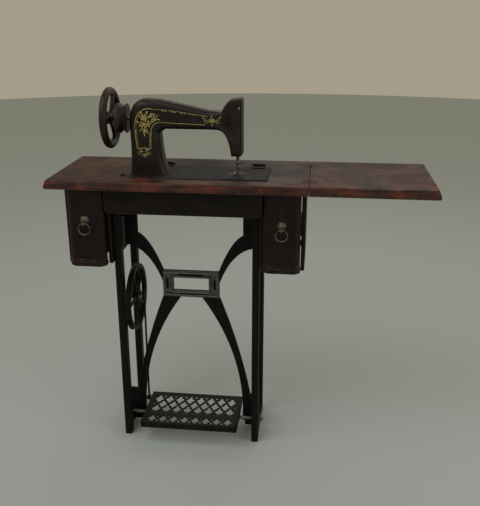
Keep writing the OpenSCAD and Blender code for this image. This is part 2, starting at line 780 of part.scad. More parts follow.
module presser_foot() {
    color("#8b877e") difference() {
        union() {
            zcyl(bar_r + 2, needle_x, presser_y, bed_z + 6, bed_z + 20);
            block([needle_x - 4, presser_y - 8, bed_z + 3], [needle_x + 4, presser_y + 4, bed_z + 8]);
            block([needle_x - 8, needle_y - 12, bed_z], [needle_x + 8, presser_y - 4, bed_z + 3]);
        }
        zcyl(bar_r, needle_x, presser_y, bed_z + 16, bed_z + 21);
        // slot the needle comes down through
        block([needle_x - 2.5, needle_y - 5, bed_z - 1], [needle_x + 2.5, needle_y + 3, bed_z + 4]);
    }
}

module presser_lifter() {
    color("#8b877e") {
        ycyl(4, needle_x, -3, 12, bed_z + 75);
        xz_plate(6, 5) {
            translate([needle_x, bed_z + 75]) circle(7);
            translate([needle_x - 4, bed_z + 44]) square([8, 31]);
            translate([needle_x, bed_z + 44]) circle(6);
        }
    }
}

module take_up_lever() {
    z = bed_z + 170;
    color("#a09c93") {
        xcyl(3, -6.5, face_x - 3 - gap, -37, z);
        yz_plate(-5.5, 3) difference() {
            union() {
                translate([-60, z - 2.5]) square([23, 5]);
                translate([-60, z]) circle(4.5);
            }
            translate([-60, z]) circle(2);
        }
    }
}

module tension_discs() {
    color("#8b877e") {
        ycyl(3, -36, -66, -40, bed_z + 134);
        ycyl(11, -36, -54, -52.5, bed_z + 134);
        ycyl(11, -36, -56, -54.5, bed_z + 134);
        ycyl(6, -36, -60, -50, bed_z + 134);
    }
}

module tension_nut() {
    color("#a09c93") difference() {
        ycyl(6.5, -36, -68, -60.3, bed_z + 134);
        ycyl(3 + run, -36, -69, -60, bed_z + 134);
    }
}

// ---- shafts that drive the hook ----
module cone_gear(r1, r2, h) {
    cylinder(r1=r1, r2=r2, h=h);
}

module upright_shaft() {
    color("#6a655e") {
        zcyl(5, upright_x, arm_y, lower_z + 8, shaft_z - 8);
        translate([upright_x, arm_y, shaft_z - 12.5]) cone_gear(13, 8, 5);
        translate([upright_x, arm_y, lower_z + 8]) cone_gear(8, 13, 5);
    }
}

module hook_shaft() {
    color("#6a655e") {
        xcyl(shaft_r, upright_x - 23, -36, arm_y, lower_z);
        translate([upright_x + 14, arm_y, lower_z]) rotate([0, -90, 0]) cone_gear(13, 8, 5);
    }
}

module rotary_hook() {
    color("#8b877e") difference() {
        union() {
            xcyl(18, -30, -14, arm_y, lower_z);
            xcyl(9, -46, -30, arm_y, lower_z);
        }
        xcyl(14, -27, -13, arm_y, lower_z);
        xcyl(shaft_r, -47, -36, arm_y, lower_z);
    }
}

table_top();
table_leaf();
leaf_hinge_fixed();
leaf_hinge_moving();
leaf_hinge_pins();
apron_front();
apron_rear();
on_left() drawer_case();  // left_drawer_case
on_right() drawer_case();  // right_drawer_case
on_left() drawer_box();  // left_drawer_box
on_right() drawer_box();  // right_drawer_box
on_left() drawer_front();  // left_drawer_front
on_right() drawer_front();  // right_drawer_front
on_left() drawer_plinth();  // left_drawer_plinth
on_right() drawer_plinth();  // right_drawer_plinth
on_left() pull_rosette();  // left_pull_rosette
on_right() pull_rosette();  // right_pull_rosette
on_left() pull_ring();  // left_pull_ring
on_right() pull_ring();  // right_pull_ring
left_side_frame();
right_side_frame();
frame_screws();
cross_brace();
brace_badge_frame();
brace_bolts();
treadle_plate();
treadle_rod();
treadle_rod_nuts();
treadle_stud();
pitman();
drive_wheel();
wheel_axle();
crank_pin();
bed();
bed_hinge_fixed();
bed_hinge_moving();
bed_hinge_pins();
slide_plate();
needle_plate();
feed_dog();
arm();
face_plate();
main_shaft();
shaft_bushes();
handwheel();
belt_pulley();
clutch_knob();
needle_crank();
needle_bar();
needle_clamp();
needle();
presser_bar();
presser_foot();
presser_lifter();
take_up_lever();
tension_discs();
tension_nut();
upright_shaft();
hook_shaft();
rotary_hook();
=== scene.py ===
import math

import bmesh
import bpy
import numpy as np
from mathutils.geometry import delaunay_2d_cdt
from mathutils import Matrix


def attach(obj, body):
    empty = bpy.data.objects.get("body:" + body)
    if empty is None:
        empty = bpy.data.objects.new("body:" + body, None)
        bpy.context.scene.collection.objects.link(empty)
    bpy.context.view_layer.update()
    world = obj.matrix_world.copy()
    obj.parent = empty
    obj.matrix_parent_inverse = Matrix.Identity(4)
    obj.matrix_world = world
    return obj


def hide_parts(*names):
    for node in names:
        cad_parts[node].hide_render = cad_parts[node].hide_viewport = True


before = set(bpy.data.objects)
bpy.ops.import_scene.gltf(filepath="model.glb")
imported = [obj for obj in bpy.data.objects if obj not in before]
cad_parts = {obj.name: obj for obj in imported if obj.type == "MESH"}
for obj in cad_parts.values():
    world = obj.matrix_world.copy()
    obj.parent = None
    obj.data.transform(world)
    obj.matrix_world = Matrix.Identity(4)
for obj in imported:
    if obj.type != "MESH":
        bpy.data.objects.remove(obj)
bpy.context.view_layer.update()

scene = bpy.context.scene


# ---- Camera, floor and light ----
# A pale round floor in a plain studio. One large soft lamp stands high on the left in front,
# a weaker one on the right, and a strip behind the table picks out the rounded castings.
def to_linear(colour):
    """An sRGB hex colour turned to the linear values that the shaders take."""
    parts = np.array([int(colour[k:k + 2], 16) / 255 for k in (1, 3, 5)])
    parts = np.where(parts <= 0.04045, parts / 12.92, ((parts + 0.055) / 1.055) ** 2.4)
    return (*parts.tolist(), 1.0)


def add(tree, kind, inputs=None, stops=None, **settings):
    """Adds one node. inputs gives each socket a value or the socket that feeds it,
    stops gives a colour ramp its places and colours."""
    made = tree.nodes.new("ShaderNode" + kind)
    for name, value in settings.items():
        setattr(made, name, value)
    for key, value in (inputs or {}).items():
        if isinstance(value, bpy.types.NodeSocket):
            tree.links.new(value, made.inputs[key])
        else:
            made.inputs[key].default_value = value
    if stops:
        ramp = made.color_ramp.elements
        while len(ramp) < len(stops):
            ramp.new(0.5)
        for element, (at, colour) in zip(ramp, stops):
            element.position = at
            element.color = to_linear(colour) if isinstance(colour, str) else (colour,) * 3 + (1,)
    return made


def studio_object(name, data):
    """An object for some data, linked into the scene."""
    made = bpy.data.objects.new(name, data)
    scene.collection.objects.link(made)
    return made


camera = studio_object("camera", bpy.data.cameras.new("camera"))
camera.data.sensor_width = 36
camera.data.lens = 49.81
camera.location = (0.1926, -1.7960, 1.1922)
camera.rotation_euler = (math.radians(70.225), 0, math.radians(6.375))
scene.camera = camera
scene.view_settings.view_transform = "Standard"

studio = bpy.data.worlds.new("studio")
studio.use_nodes = True
backdrop = studio.node_tree.nodes["Background"].inputs
backdrop["Color"].default_value = to_linear("#ddd3ba")
backdrop["Strength"].default_value = 0.52
scene.world = studio

for name, place, turn, size, power in (
        ("main lamp", (-1.2, -1.2, 2.7), (32, 0, -40), 1.8, 18),
        ("side lamp", (2.2, -1.0, 1.6), (52, 0, 66), 1.6, 9),
        ("rear lamp", (0.3, 1.8, 2.2), (-50, 0, 0), 1.6, 5)):
    lamp = studio_object(name, bpy.data.lights.new(name, "AREA"))
    lamp.data.energy = power
    lamp.data.size = size
    lamp.location = place
    lamp.rotation_euler = [math.radians(v) for v in turn]

floor_radius = 8.0
floor_turn = np.linspace(0, 2 * math.pi, 96, endpoint=False)
floor_ring = np.stack([np.cos(floor_turn), np.sin(floor_turn), 0 * floor_turn], 1) * floor_radius
floor_mesh = bpy.data.meshes.new("floor")
floor_mesh.from_pydata(floor_ring.tolist(), [], [tuple(range(len(floor_turn)))])
floor = studio_object("floor", floor_mesh)
paper = bpy.data.materials.new("matt backdrop paper")
paper.use_nodes = True
matt = paper.node_tree.nodes["Principled BSDF"].inputs
matt["Base Color"].default_value = to_linear("#bcc6c9")
matt["Roughness"].default_value = 0.9
floor_mesh.materials.append(paper)


# ---- Table top and leaf ----
# Two walnut boards 22 mm thick, planed, with a front edge that flares out below. The left one
# is cut through for the head and the belt, the right one folds on two hinges. The shellac is
# worn thin and stained: brown, red and grey patches, rubbed arrises, and a painted shadow round the bed.
MM = 0.001


def drawn_in(path, distance):
    """A closed path moved to its left by a distance: each corner slides along the bisector of
    its two edges, so that both edges move by that much."""
    ahead = np.roll(path, -1, 0) - path
    ahead = ahead / np.maximum(np.linalg.norm(ahead, axis=1, keepdims=True), 1e-9)
    left = np.stack([-ahead[:, 1], ahead[:, 0]], 1)
    before = np.roll(left, 1, 0)
    bisector = (left + before) / np.maximum(1 + (left * before).sum(1, keepdims=True), 0.4)
    return path + np.reshape(distance, (-1, 1)) * bisector


def eased(corners, radius, steps=4):
    """A closed outline with each corner replaced by a short parabola that leaves and joins the
    straight edges at the radius from the corner."""
    corners = np.array(corners, float)
    radius = np.broadcast_to(radius, len(corners))[:, None]
    to_last = np.roll(corners, 1, 0) - corners
    to_next = np.roll(corners, -1, 0) - corners
    start = corners + radius * to_last / np.linalg.norm(to_last, axis=1, keepdims=True)
    end = corners + radius * to_next / np.linalg.norm(to_next, axis=1, keepdims=True)
    t = np.linspace(0, 1, steps + 1)[None, :, None]
    arcs = (1 - t) ** 2 * start[:, None] + 2 * t * (1 - t) * corners[:, None] + t * t * end[:, None]
    return arcs.reshape(-1, 2)


def box_path(low, high, radius, steps=4):
    """The outline of an upright rectangle, anticlockwise, with its corners eased."""
    corners = [(low[0], low[1]), (high[0], low[1]), (high[0], high[1]), (low[0], high[1])]
    return eased(corners, max(radius, 0.05), steps)


def soft_edge(low, high, soften, steps=3):
    """Profile of a plain edge: a quarter round at the bottom, straight up, a quarter round at
    the top, and one step further in on each flat face. Rows are (inset, height, wear), and a
    tall side is unworn between its two arrises."""
    turn = np.linspace(0, math.pi / 2, steps + 1)
    inset = soften * (1 - np.sin(turn))
    rise = soften * (1 - np.cos(turn))
    bottom = np.stack([inset, low + rise, np.ones_like(turn)], 1)
    top = np.stack([inset[::-1], high - rise[::-1], np.ones_like(turn)], 1)
    lip, fade = soften * 1.6, soften * 2.6
    side = [[0, low + fade, 0], [0, high - fade, 0]] if high - low > 3 * fade else np.empty((0, 3))
    return np.concatenate([[[lip, low, 0]], bottom, side, top, [[lip, high, 0]]])


def wall(path, profile):
    """The profile carried round a closed path: row k of the surface is the path drawn in by
    the profile's k-th inset, at its k-th height. Gives (points, faces, wear)."""
    rows, count = len(profile), len(path)
    ring = np.stack([drawn_in(path, inset) for inset in profile[:, 0]])
    height = np.repeat(profile[:, 1], count).reshape(rows, count, 1)
    points = np.concatenate([ring, height], 2).reshape(-1, 3)
    here = (np.arange(rows - 1)[:, None] * count + np.arange(count)[None]).ravel()
    after = (np.arange(rows - 1)[:, None] * count + (np.arange(count)[None] + 1) % count).ravel()
    faces = np.stack([here, after, after + count, here + count], 1)
    return points, faces, np.repeat(profile[:, 2], count)


def inside(spots, loops):
    """Whether each spot lies inside the loops, by counting the edges to its right."""
    a = np.concatenate(loops)
    b = np.concatenate([np.roll(loop, -1, 0) for loop in loops])
    x, y = spots[:, :1], spots[:, 1:]
    with np.errstate(divide="ignore", invalid="ignore"):
        cross = a[None, :, 0] + (y - a[None, :, 1]) * (b - a)[None, :, 0] / (b - a)[None, :, 1]
    hit = ((a[None, :, 1] > y) != (b[None, :, 1] > y)) & (cross > x)
    return hit.sum(1) % 2 == 1


def filled(loops, extra=None):
    """Triangles that fill the area between closed loops, keeping every loop's edges and using
    any extra spots. Gives the flat points and the triangles, anticlockwise."""
    flat = np.concatenate(list(loops) + ([extra] if extra is not None else []))
    edges, start = [], 0
    for loop in loops:
        run = np.arange(start, start + len(loop))
        edges.append(np.stack([run, np.roll(run, -1)], 1))
        start += len(loop)
    verts, _, tris, _, _, _ = delaunay_2d_cdt(
        flat.tolist(), np.concatenate(edges).tolist(), [], 0, 1e-6, False)
    flat, tris = np.array([tuple(v) for v in verts]), np.array(tris)
    tris = tris[inside(flat[tris].mean(1), loops)]
    a, b, c = flat[tris[:, 0]], flat[tris[:, 1]], flat[tris[:, 2]]
    turned = (b[:, 0] - a[:, 0]) * (c[:, 1] - a[:, 1]) < (b[:, 1] - a[:, 1]) * (c[:, 0] - a[:, 0])
    tris[turned] = tris[turned][:, ::-1]
    return flat, tris


def cap(loops, height, up=True):
    """A flat face at one height between closed loops."""
    flat, tris = filled(loops)
    points = np.concatenate([flat, np.full((len(flat), 1), height)], 1)
    return points, tris if up else tris[:, ::-1], np.zeros(len(flat))


def joined(*shapes):
    """Several shapes as one: their points in a row, with the faces renumbered."""
    points, faces, wear, start = [], [], [], 0
    for shape_points, shape_faces, shape_wear in shapes:
        points.append(shape_points)
        wear.append(shape_wear)
        parts = shape_faces if isinstance(shape_faces, list) else [shape_faces]
        faces.extend(part + start for part in parts)
        start += len(shape_points)
    return np.concatenate(points), faces, np.concatenate(wear)


def plate(outline, low, high, soften, holes=()):
    """A flat piece: its outline and its holes carry the same soft edge, and two flat faces
    close it below and above."""
    edge = soft_edge(low, high, soften)
    loops = [outline, *(hole[::-1] for hole in holes)]
    lip = [drawn_in(loop, edge[0, 0]) for loop in loops]
    return joined(*(wall(loop, edge) for loop in loops), cap(lip, low, False), cap(lip, high))


def laid(shape, way):
    """A shape drawn flat and then stood up, its top face to the front for "y", to the back for
    "-y", to the right for "x" and to the left for "-x"."""
    points, faces, wear = shape
    stood = {"y": points[:, [0, 2, 1]] * (1, -1, 1), "-y": points[:, [0, 2, 1]] * (1, 1, -1),
             "x": points[:, [2, 0, 1]], "-x": points[:, [2, 1, 0]] * (-1, 1, 1)}[way]
    return stood, faces, wear


def moved(shape, by):
    """A shape carried along by a distance in each axis."""
    return shape[0] + np.array(by), shape[1], shape[2]


def piece(name, shape, body, material, stands_for=(), crease=38):
    """Puts a shape, in millimetres, into a mesh: smooth, but creased where two faces meet at
    more than the given angle, with its wear as an attribute."""
    points, faces, wear = shape
    faces = faces if isinstance(faces, list) else [faces]
    mesh = bpy.data.meshes.new(name)
    mesh.from_pydata((points * MM).tolist(), [], [f for part in faces for f in part.tolist()])
    mesh.attributes.new("wear", "FLOAT", "POINT").data.foreach_set("value", wear.astype(np.float32))
    seams = bmesh.new()
    seams.from_mesh(mesh)
    bmesh.ops.remove_doubles(seams, verts=seams.verts, dist=2e-6)
    seams.to_mesh(mesh)
    seams.free()
    mesh.polygons.foreach_set("use_smooth", np.ones(len(mesh.polygons), bool))
    mesh.set_sharp_from_angle(angle=math.radians(crease))
    mesh.materials.append(material)
    mesh.validate()
    made = studio_object(name, mesh)
    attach(made, body)
    if stands_for:
        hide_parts(*stands_for)
    return made


def blank_material(name):
    """A material with nothing in it yet, its tree, and the place on the piece that every
    pattern is laid out from."""
    material = bpy.data.materials.new(name)
    material.use_nodes = True
    material.node_tree.nodes.clear()
    return (material, material.node_tree,
            add(material.node_tree, "TexCoord").outputs["Object"])


def grain_of(tree, along, width):
    """Noise drawn out twenty times along one axis, with streaks of the given width in mm."""
    stretch = [1.0, 1.0, 1.0]
    stretch["XYZ".index(along)] = 0.05
    place = add(tree, "Mapping", {"Vector": add(tree, "TexCoord").outputs["Object"],
                                  "Scale": stretch}).outputs[0]
    return add(tree, "TexNoise", {"Vector": place, "Scale": 1 / (width * MM), "Detail": 6,
                                  "Roughness": 0.6, "Distortion": 0.4}).outputs[0]


def walnut(name, along, dark, brown, red, grey, shine):
    """Walnut under old shellac. Streaks of 9 mm carry the figure, pores of 1.2 mm lie along it,
    patches of 70 and 160 mm let the red and the grey through, and rubbed arrises show paler."""
    material, tree, place = blank_material(name)
    figure = add(tree, "ValToRGB", {"Fac": grain_of(tree, along, 9)},
                 [(0.34, dark), (0.52, brown), (0.70, red)]).outputs[0]
    cloud = add(tree, "TexNoise", {"Vector": place, "Scale": 1 / 0.07, "Detail": 5,
                                   "Roughness": 0.62, "Distortion": 0.8}).outputs[0]
    reddened = add(tree, "ValToRGB", {"Fac": cloud}, [(0.48, 0.0), (0.66, 0.75)]).outputs[0]
    broad = add(tree, "TexNoise", {"Vector": add(tree, "Mapping", {
        "Vector": place, "Location": (3, 1, 2)}).outputs[0], "Scale": 1 / 0.16, "Detail": 6,
        "Roughness": 0.68, "Distortion": 1.2}).outputs[0]
    greyed = add(tree, "ValToRGB", {"Fac": broad}, [(0.46, 0.0), (0.68, 0.85)]).outputs[0]
    first = add(tree, "Mix", {0: reddened, 6: figure, 7: to_linear(red)},
                data_type="RGBA").outputs[2]
    second = add(tree, "Mix", {0: greyed, 6: first, 7: to_linear(grey)},
                 data_type="RGBA").outputs[2]
    streak = add(tree, "ValToRGB", {"Fac": grain_of(tree, along, 2.5)},
                 [(0.35, 0.62), (0.62, 1.0)]).outputs[0]
    veined = add(tree, "Mix", {0: 1.0, 6: second, 7: streak}, data_type="RGBA",
                 blend_type="MULTIPLY").outputs[2]
    rub = add(tree, "TexNoise", {"Vector": place, "Scale": 1 / 0.02, "Detail": 4,
                                 "Roughness": 0.7}).outputs[0]
    worn = add(tree, "Math", {0: add(tree, "Attribute", attribute_name="wear").outputs["Fac"],
                              1: add(tree, "ValToRGB", {"Fac": rub},
                                     [(0.42, 0.0), (0.62, 0.7)]).outputs[0]},
               operation="MULTIPLY").outputs[0]
    finish = add(tree, "Mix", {0: worn, 6: veined, 7: to_linear("#5f453c")},
                 data_type="RGBA").outputs[2]
    pores = grain_of(tree, along, 1.2)
    dull = add(tree, "MapRange", {0: broad, 1: 0.3, 2: 0.7, 3: shine, 4: shine + 0.24}).outputs[0]
    relief = add(tree, "Bump", {"Strength": 0.22, "Distance": 0.0006, "Height": pores}).outputs[0]
    shader = add(tree, "BsdfPrincipled", {"Base Color": finish, "Roughness": dull,
                                          "Normal": relief, "Specular IOR Level": 0.24})
    add(tree, "OutputMaterial", {"Surface": shader.outputs[0]})
    return material, finish, shader


table_walnut, table_colour, table_shader = walnut(
    "stained walnut, worn shellac", "X", "#241412", "#42251d", "#763a2b", "#2f272c", 0.40)

# painted shadow: a dark, blue-black halo with a ragged edge painted into the board round the bed and
# behind it, where the head and bed throw their shade
shadow_tree = table_walnut.node_tree
shadow_place = add(shadow_tree, "Mapping", {
    "Vector": add(shadow_tree, "TexCoord").outputs["Object"], "Location": (0.24, -0.20, 0),
    "Scale": (3.3, 6.6, 0)}, vector_type="POINT").outputs[0]
ragged = add(shadow_tree, "TexNoise", {"Vector": add(shadow_tree, "TexCoord").outputs["Object"],
                                    "Scale": 1 / 0.045, "Detail": 5, "Roughness": 0.65}).outputs[0]
halo = add(shadow_tree, "TexGradient", {"Vector": shadow_place}, gradient_type="SPHERICAL").outputs[1]
shadow_mask = add(shadow_tree, "Math", {0: halo, 1: ragged}, operation="ADD").outputs[0]
shadow_mask = add(shadow_tree, "ValToRGB", {"Fac": shadow_mask}, [(0.56, 0.0), (0.88, 0.94)]).outputs[0]
# the painted shadow's blue-black laid over the wood colour
oiled = add(shadow_tree, "Mix", {0: shadow_mask, 6: table_colour, 7: to_linear("#16161a")},
            data_type="RGBA").outputs[2]
shadow_tree.links.new(oiled, table_shader.inputs["Base Color"])

surface_z, under_z = 770, 748
half_l, half_d = 485, 148
joint_x = 176
bed_path = box_path((-283, -100), (70, 52), 9, 6)
recess = drawn_in(bed_path, -1.5)[::-1]
well = box_path((-275, -92), (24, 48), 3)[::-1]
belt_slots = [box_path((-310.5, y - 10), (-298.5, y + 10), 5, 6)[::-1] for y in (-72, 37)]
flare = np.array([(-4.0, 748, 0), (-5.4, 748.4, 1), (-6, 749.6, 1), (-6, 753, 0.4), (-5.6, 755, 0.6),
                  (-3.6, 760.5, 0), (-1.2, 767, 0.2), (-0.5, 768.8, 1), (0.8, 769.8, 1),
                  (2.4, 770, 0.7), (5, 770, 0)], float)


def board(end, other_end, cuts=(), sunk=None):
    """A board with the flared edge carried round it. At the leaf joint the edge stays square,
    because the points there are held back to the joint."""
    outline = box_path((min(end, other_end), -half_d), (max(end, other_end), half_d), 3)
    to_joint = np.minimum if end < other_end else np.maximum
    body = wall(outline, flare)
    body[0][:, 0] = to_joint(body[0][:, 0], other_end)
    bottom, top = (drawn_in(outline, flare[k, 0]) for k in (0, -1))
    bottom[:, 0] = to_joint(bottom[:, 0], other_end)
    top[:, 0] = to_joint(top[:, 0], other_end)
    through = soft_edge(under_z, surface_z, 0.8)
    lip = [drawn_in(cut, through[0, 0]) for cut in cuts]
    shapes = [body, *(wall(cut, through) for cut in cuts)]
    if sunk is None:
        return joined(*shapes, cap([bottom, *lip], under_z, False), cap([top, *lip], surface_z))
    upper, lower = sunk
    floor_z = 759
    brim = np.array([(0, floor_z, 0), (0, 769.2, 0.6), (0.5, 769.9, 1), (2, 770, 0)])
    throat = np.array([(0, under_z, 0), (0, floor_z, 0)])
    shapes += [wall(upper, brim), wall(lower, throat), cap([upper, lower], floor_z)]
    return joined(*shapes, cap([bottom, lower, *lip], under_z, False),
                  cap([top, drawn_in(upper, 2), *lip], surface_z))


piece("table_top_board", board(-half_l, joint_x - 0.3, belt_slots, (recess, well)), "stand",
      table_walnut, ["table_top"])
piece("table_leaf_board", board(half_l, joint_x + 0.3), "leaf", table_walnut,
      ["table_leaf"])


# ---- Leaf hinges ----
# Two brass butt hinges let in flush across the joint, their knuckles half proud of the boards.
# Each half is a cast leaf with alternate knuckles and three countersunk steel screws.
def turned(profile, steps=32, wave=None):
    """A profile of (radius, height) or (radius, height, wear) rows carried round the height
    axis, closed where the radius is nought. wave gives a count of lobes and, for each row, how
    deep they cut."""
    profile = np.array([(*row, 0)[:3] for row in profile], float)
    angle = np.linspace(0, 2 * math.pi, steps, endpoint=False)
    radius = np.repeat(profile[:, :1], steps, 1)
    if wave is not None:
        radius = radius * (1 + np.reshape(wave[1], (-1, 1)) * np.cos(wave[0] * angle)[None])
    height = np.repeat(profile[:, 1:2], steps, 1)
    points = np.stack([radius * np.cos(angle), radius * np.sin(angle), height], 2).reshape(-1, 3)
    here = (np.arange(len(profile) - 1)[:, None] * steps + np.arange(steps)[None]).ravel()
    after = (np.arange(len(profile) - 1)[:, None] * steps
             + (np.arange(steps)[None] + 1) % steps).ravel()
    faces = np.stack([here, after, after + steps, here + steps], 1)
    return points, faces, np.repeat(profile[:, 2], steps)


def round_bar(radius, low, high, soften=0.4, steps=24):
    """A round bar with softened ends, closed at both."""
    return turned([(0, low), (radius - soften, low), (radius, low + soften),
                   (radius, high - soften), (radius - soften, high), (0, high)], steps)


def metal(name, bright, dull, dark, rough, spot=4.0, relief=0.25):
    """Old plated or bare metal. A soft cloud of the given size in mm dulls the polish, tarnish
    gathers in small spots, and the rubbed edges stay bright."""
    material, tree, place = blank_material(name)
    cloud = add(tree, "TexNoise", {"Vector": place, "Scale": 1 / (spot * 3 * MM), "Detail": 5,
                                   "Roughness": 0.65}).outputs[0]
    tarnish = add(tree, "TexNoise", {"Vector": place, "Scale": 1 / (spot * MM), "Detail": 4,
                                     "Roughness": 0.7, "Distortion": 0.6}).outputs[0]
    base = add(tree, "ValToRGB", {"Fac": cloud}, [(0.35, dull), (0.62, bright)]).outputs[0]
    spots = add(tree, "ValToRGB", {"Fac": tarnish}, [(0.50, 0.0), (0.66, 0.9)]).outputs[0]
    mixed = add(tree, "Mix", {0: spots, 6: base, 7: to_linear(dark)}, data_type="RGBA").outputs[2]
    edge = add(tree, "Math", {0: add(tree, "Attribute", attribute_name="wear").outputs["Fac"],
                              1: 0.6}, operation="MULTIPLY").outputs[0]
    colour = add(tree, "Mix", {0: edge, 6: mixed, 7: to_linear(bright)},
                 data_type="RGBA").outputs[2]
    roughness = add(tree, "MapRange", {0: tarnish, 1: 0.3, 2: 0.7, 3: rough,
                                       4: rough + 0.25}).outputs[0]
    normal = add(tree, "Bump", {"Strength": relief, "Distance": 0.0003,
                                "Height": tarnish}).outputs[0]
    shader = add(tree, "BsdfPrincipled", {"Base Color": colour, "Roughness": roughness,
                                          "Normal": normal, "Metallic": 1.0})
    add(tree, "OutputMaterial", {"Surface": shader.outputs[0]})
    return material


# cast brass gone brown: hardly any yellow left, umber in the corners
hinge_brass = metal("tarnished brass", "#574730", "#3b3021", "#1f1913", 0.46)
# mild steel with a grey film of oil and dust
dull_steel = metal("oiled steel", "#8b8985", "#5f5c58", "#2c2926", 0.36)

hinge_ends = (-110, 76)
knuckle = 34 / 5
for side_name, body, way, odd in (("fixed", "stand", -1, 0), ("moving", "leaf", 1, 1)):
    shapes = []
    for y in hinge_ends:
        inner, outer = joint_x + way * 3.4, joint_x + way * 20
        shapes.append(plate(box_path((min(inner, outer), y + 0.4),
                                     (max(inner, outer), y + 33.6), 3), 768, 770.3, 0.3))
        for k in range(odd, 5, 2):
            barrel = round_bar(3, k * knuckle + 0.2, (k + 1) * knuckle - 0.2)
            shapes.append(moved(laid(barrel, "-y"), (joint_x, y, surface_z)))
            link = plate(box_path((min(joint_x, inner + way), y + k * knuckle + 0.2),
                                  (max(joint_x, inner + way), y + (k + 1) * knuckle - 0.2), 0.2),
                         768, 770.3, 0.2)
            shapes.append(link)
        for across, along in ((9, 6), (14, 17), (9, 28)):
            shapes.append(moved(turned([(0, 0.9), (2.6, 0.9), (2.4, 1.15), (0, 1.3)], 16),
                                (joint_x + way * across, y + along, 769.3)))
    piece("leaf_hinge_" + side_name + "_half", joined(*shapes), body, hinge_brass,
          ["leaf_hinge_" + side_name])
pins = [moved(laid(round_bar(1.5, -0.6, 34.6), "-y"), (joint_x, y, surface_z))
        for y in hinge_ends]
piece("leaf_hinge_pin_pair", joined(*pins), "stand", dull_steel,
      ["leaf_hinge_pins"])


# ---- Aprons ----
# A walnut board 12 mm thick under each long edge of the table, glued and blocked to it. The
# front one has its lower corners cut off; both are stained almost black.
apron_walnut, _, _ = walnut("black stained walnut", "X", "#0c0807", "#150d0a", "#1e120e",
                            "#110d0e", 0.48)

apron_ends = (-343, 61)
apron_low = 682
front_outline = eased([(apron_ends[0], apron_low + 8), (apron_ends[0] + 6, apron_low),
                       (apron_ends[1] - 6, apron_low), (apron_ends[1], apron_low + 8),
                       (apron_ends[1], under_z), (apron_ends[0], under_z)], 1.5, 2)
piece("front_apron_board", laid(plate(front_outline, 116, 128, 1.2), "y"), "stand",
      apron_walnut, ["apron_front"])
rear_outline = box_path((apron_ends[0], apron_low), (apron_ends[1], under_z), 1.5, 2)
piece("rear_apron_board", laid(plate(rear_outline, -116, -104, 1.2), "y"), "stand",
      apron_walnut, ["apron_rear"])


# ---- Drawers ----
# Each drawer hangs between two boards with a runner in a groove. Its front is one thick walnut
# block with long bevels, standing on a moulded plinth. The box behind it is bare walnut.
front_walnut, _, _ = walnut("dark walnut, upright grain", "Z", "#120807", "#1c0f0d", "#2c1410",
                            "#170f10", 0.42)
# bare wood inside: never polished, dry and pale brown
lining, _, _ = walnut("bare walnut", "Y", "#4a3526", "#6b5039", "#7d5c40", "#5a4a3c", 0.70)


def bar(low, high, soften=1.0, corner=None):
    """A sawn or cast bar: its outline from above has eased corners, its ends a soft edge."""
    outline = box_path(low[:2], high[:2], soften if corner is None else corner, 3)
    return plate(outline, low[2], high[2], soften)


def dress(nodes, material):
    """Gives nodes that are shown as they are their material."""
    for node in nodes:
        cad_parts[node].data.materials.clear()
        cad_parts[node].data.materials.append(material)


drawer_x = {"left": -393.5, "right": 111.5}
front_low, front_high = 538, 744
for hand, x in drawer_x.items():
    boards = []
    for s in (-1, 1):
        boards.append(bar((x + s * 53.5 - 5, -105, front_low), (x + s * 53.5 + 5, 95, 748)))
        near, far = sorted((x + s * 37, x + s * 49.5))
        boards.append(bar((near, -99, 630), (far, 91, 639), 0.6))
    boards.append(bar((x - 49.5, 85, 540), (x + 49.5, 95, 556)))
    piece(hand + "_drawer_hangers", joined(*boards), "stand", front_walnut,
          [hand + "_drawer_case"])
    bevelled = eased([(x - 47, -111), (x - 47, -125), (x - 35, -136), (x + 35, -136),
                      (x + 47, -125), (x + 47, -111)], 1.2, 3)
    piece(hand + "_drawer_face", plate(bevelled, front_low + 19, front_high, 1.0),
          hand + "_drawer", front_walnut, [hand + "_drawer_front"])
    ogee = np.array([(3, 538, 0), (0.6, 538, 0.6), (-0.6, 538.8, 1), (-1.2, 541, 0.6),
                     (-1.5, 545, 0), (-1.5, 549, 0.3), (-1.2, 551, 0.8), (0, 552, 0.3),
                     (0.3, 553.4, 0), (-0.3, 554.6, 0.4), (-0.6, 556, 1), (0.4, 557, 0.5),
                     (3, 557, 0)])
    piece(hand + "_drawer_foot_moulding",
          joined(wall(bevelled, ogee), cap([drawn_in(bevelled, 3)], 538, False),
                 cap([drawn_in(bevelled, 3)], 557)),
          hand + "_drawer", front_walnut, [hand + "_drawer_plinth"])
    dress([hand + "_drawer_box"], lining)


# ---- Ring pulls ----
# A stamped rosette with a domed boss and a cast ear, nickel plated and mostly rubbed through,
# carries a drawn wire ring that swings on the ear.
pull_metal = metal("rubbed nickel plate", "#857e74", "#554d45", "#251f1b", 0.38, 2.5)


def wire(path, radius, steps):
    """Round wire bent into a ring: a circle carried square to a closed path of points, turned
    as little as it can be."""
    along = np.roll(path, -1, 0) - np.roll(path, 1, 0)
    along = along / np.linalg.norm(along, axis=1, keepdims=True)
    up = np.eye(3)[int(np.argmin(np.abs(along).mean(0)))]
    one = np.cross(along, up)
    one = one / np.linalg.norm(one, axis=1, keepdims=True)
    two = np.cross(along, one)
    angle = np.linspace(0, 2 * math.pi, steps, endpoint=False)
    circle = (one[:, None] * np.cos(angle)[None, :, None]
              + two[:, None] * np.sin(angle)[None, :, None])
    points = path[:, None] + radius * circle
    rows = len(path)
    k, i = np.arange(rows)[:, None], np.arange(steps)[None]
    here, beside = k * steps + i, k * steps + (i + 1) % steps
    next_row = ((k + 1) % rows) * steps
    faces = np.stack([here, beside, next_row + (i + 1) % steps, next_row + i], 2).reshape(-1, 4)
    return points.reshape(-1, 3), faces, np.zeros(rows * steps)


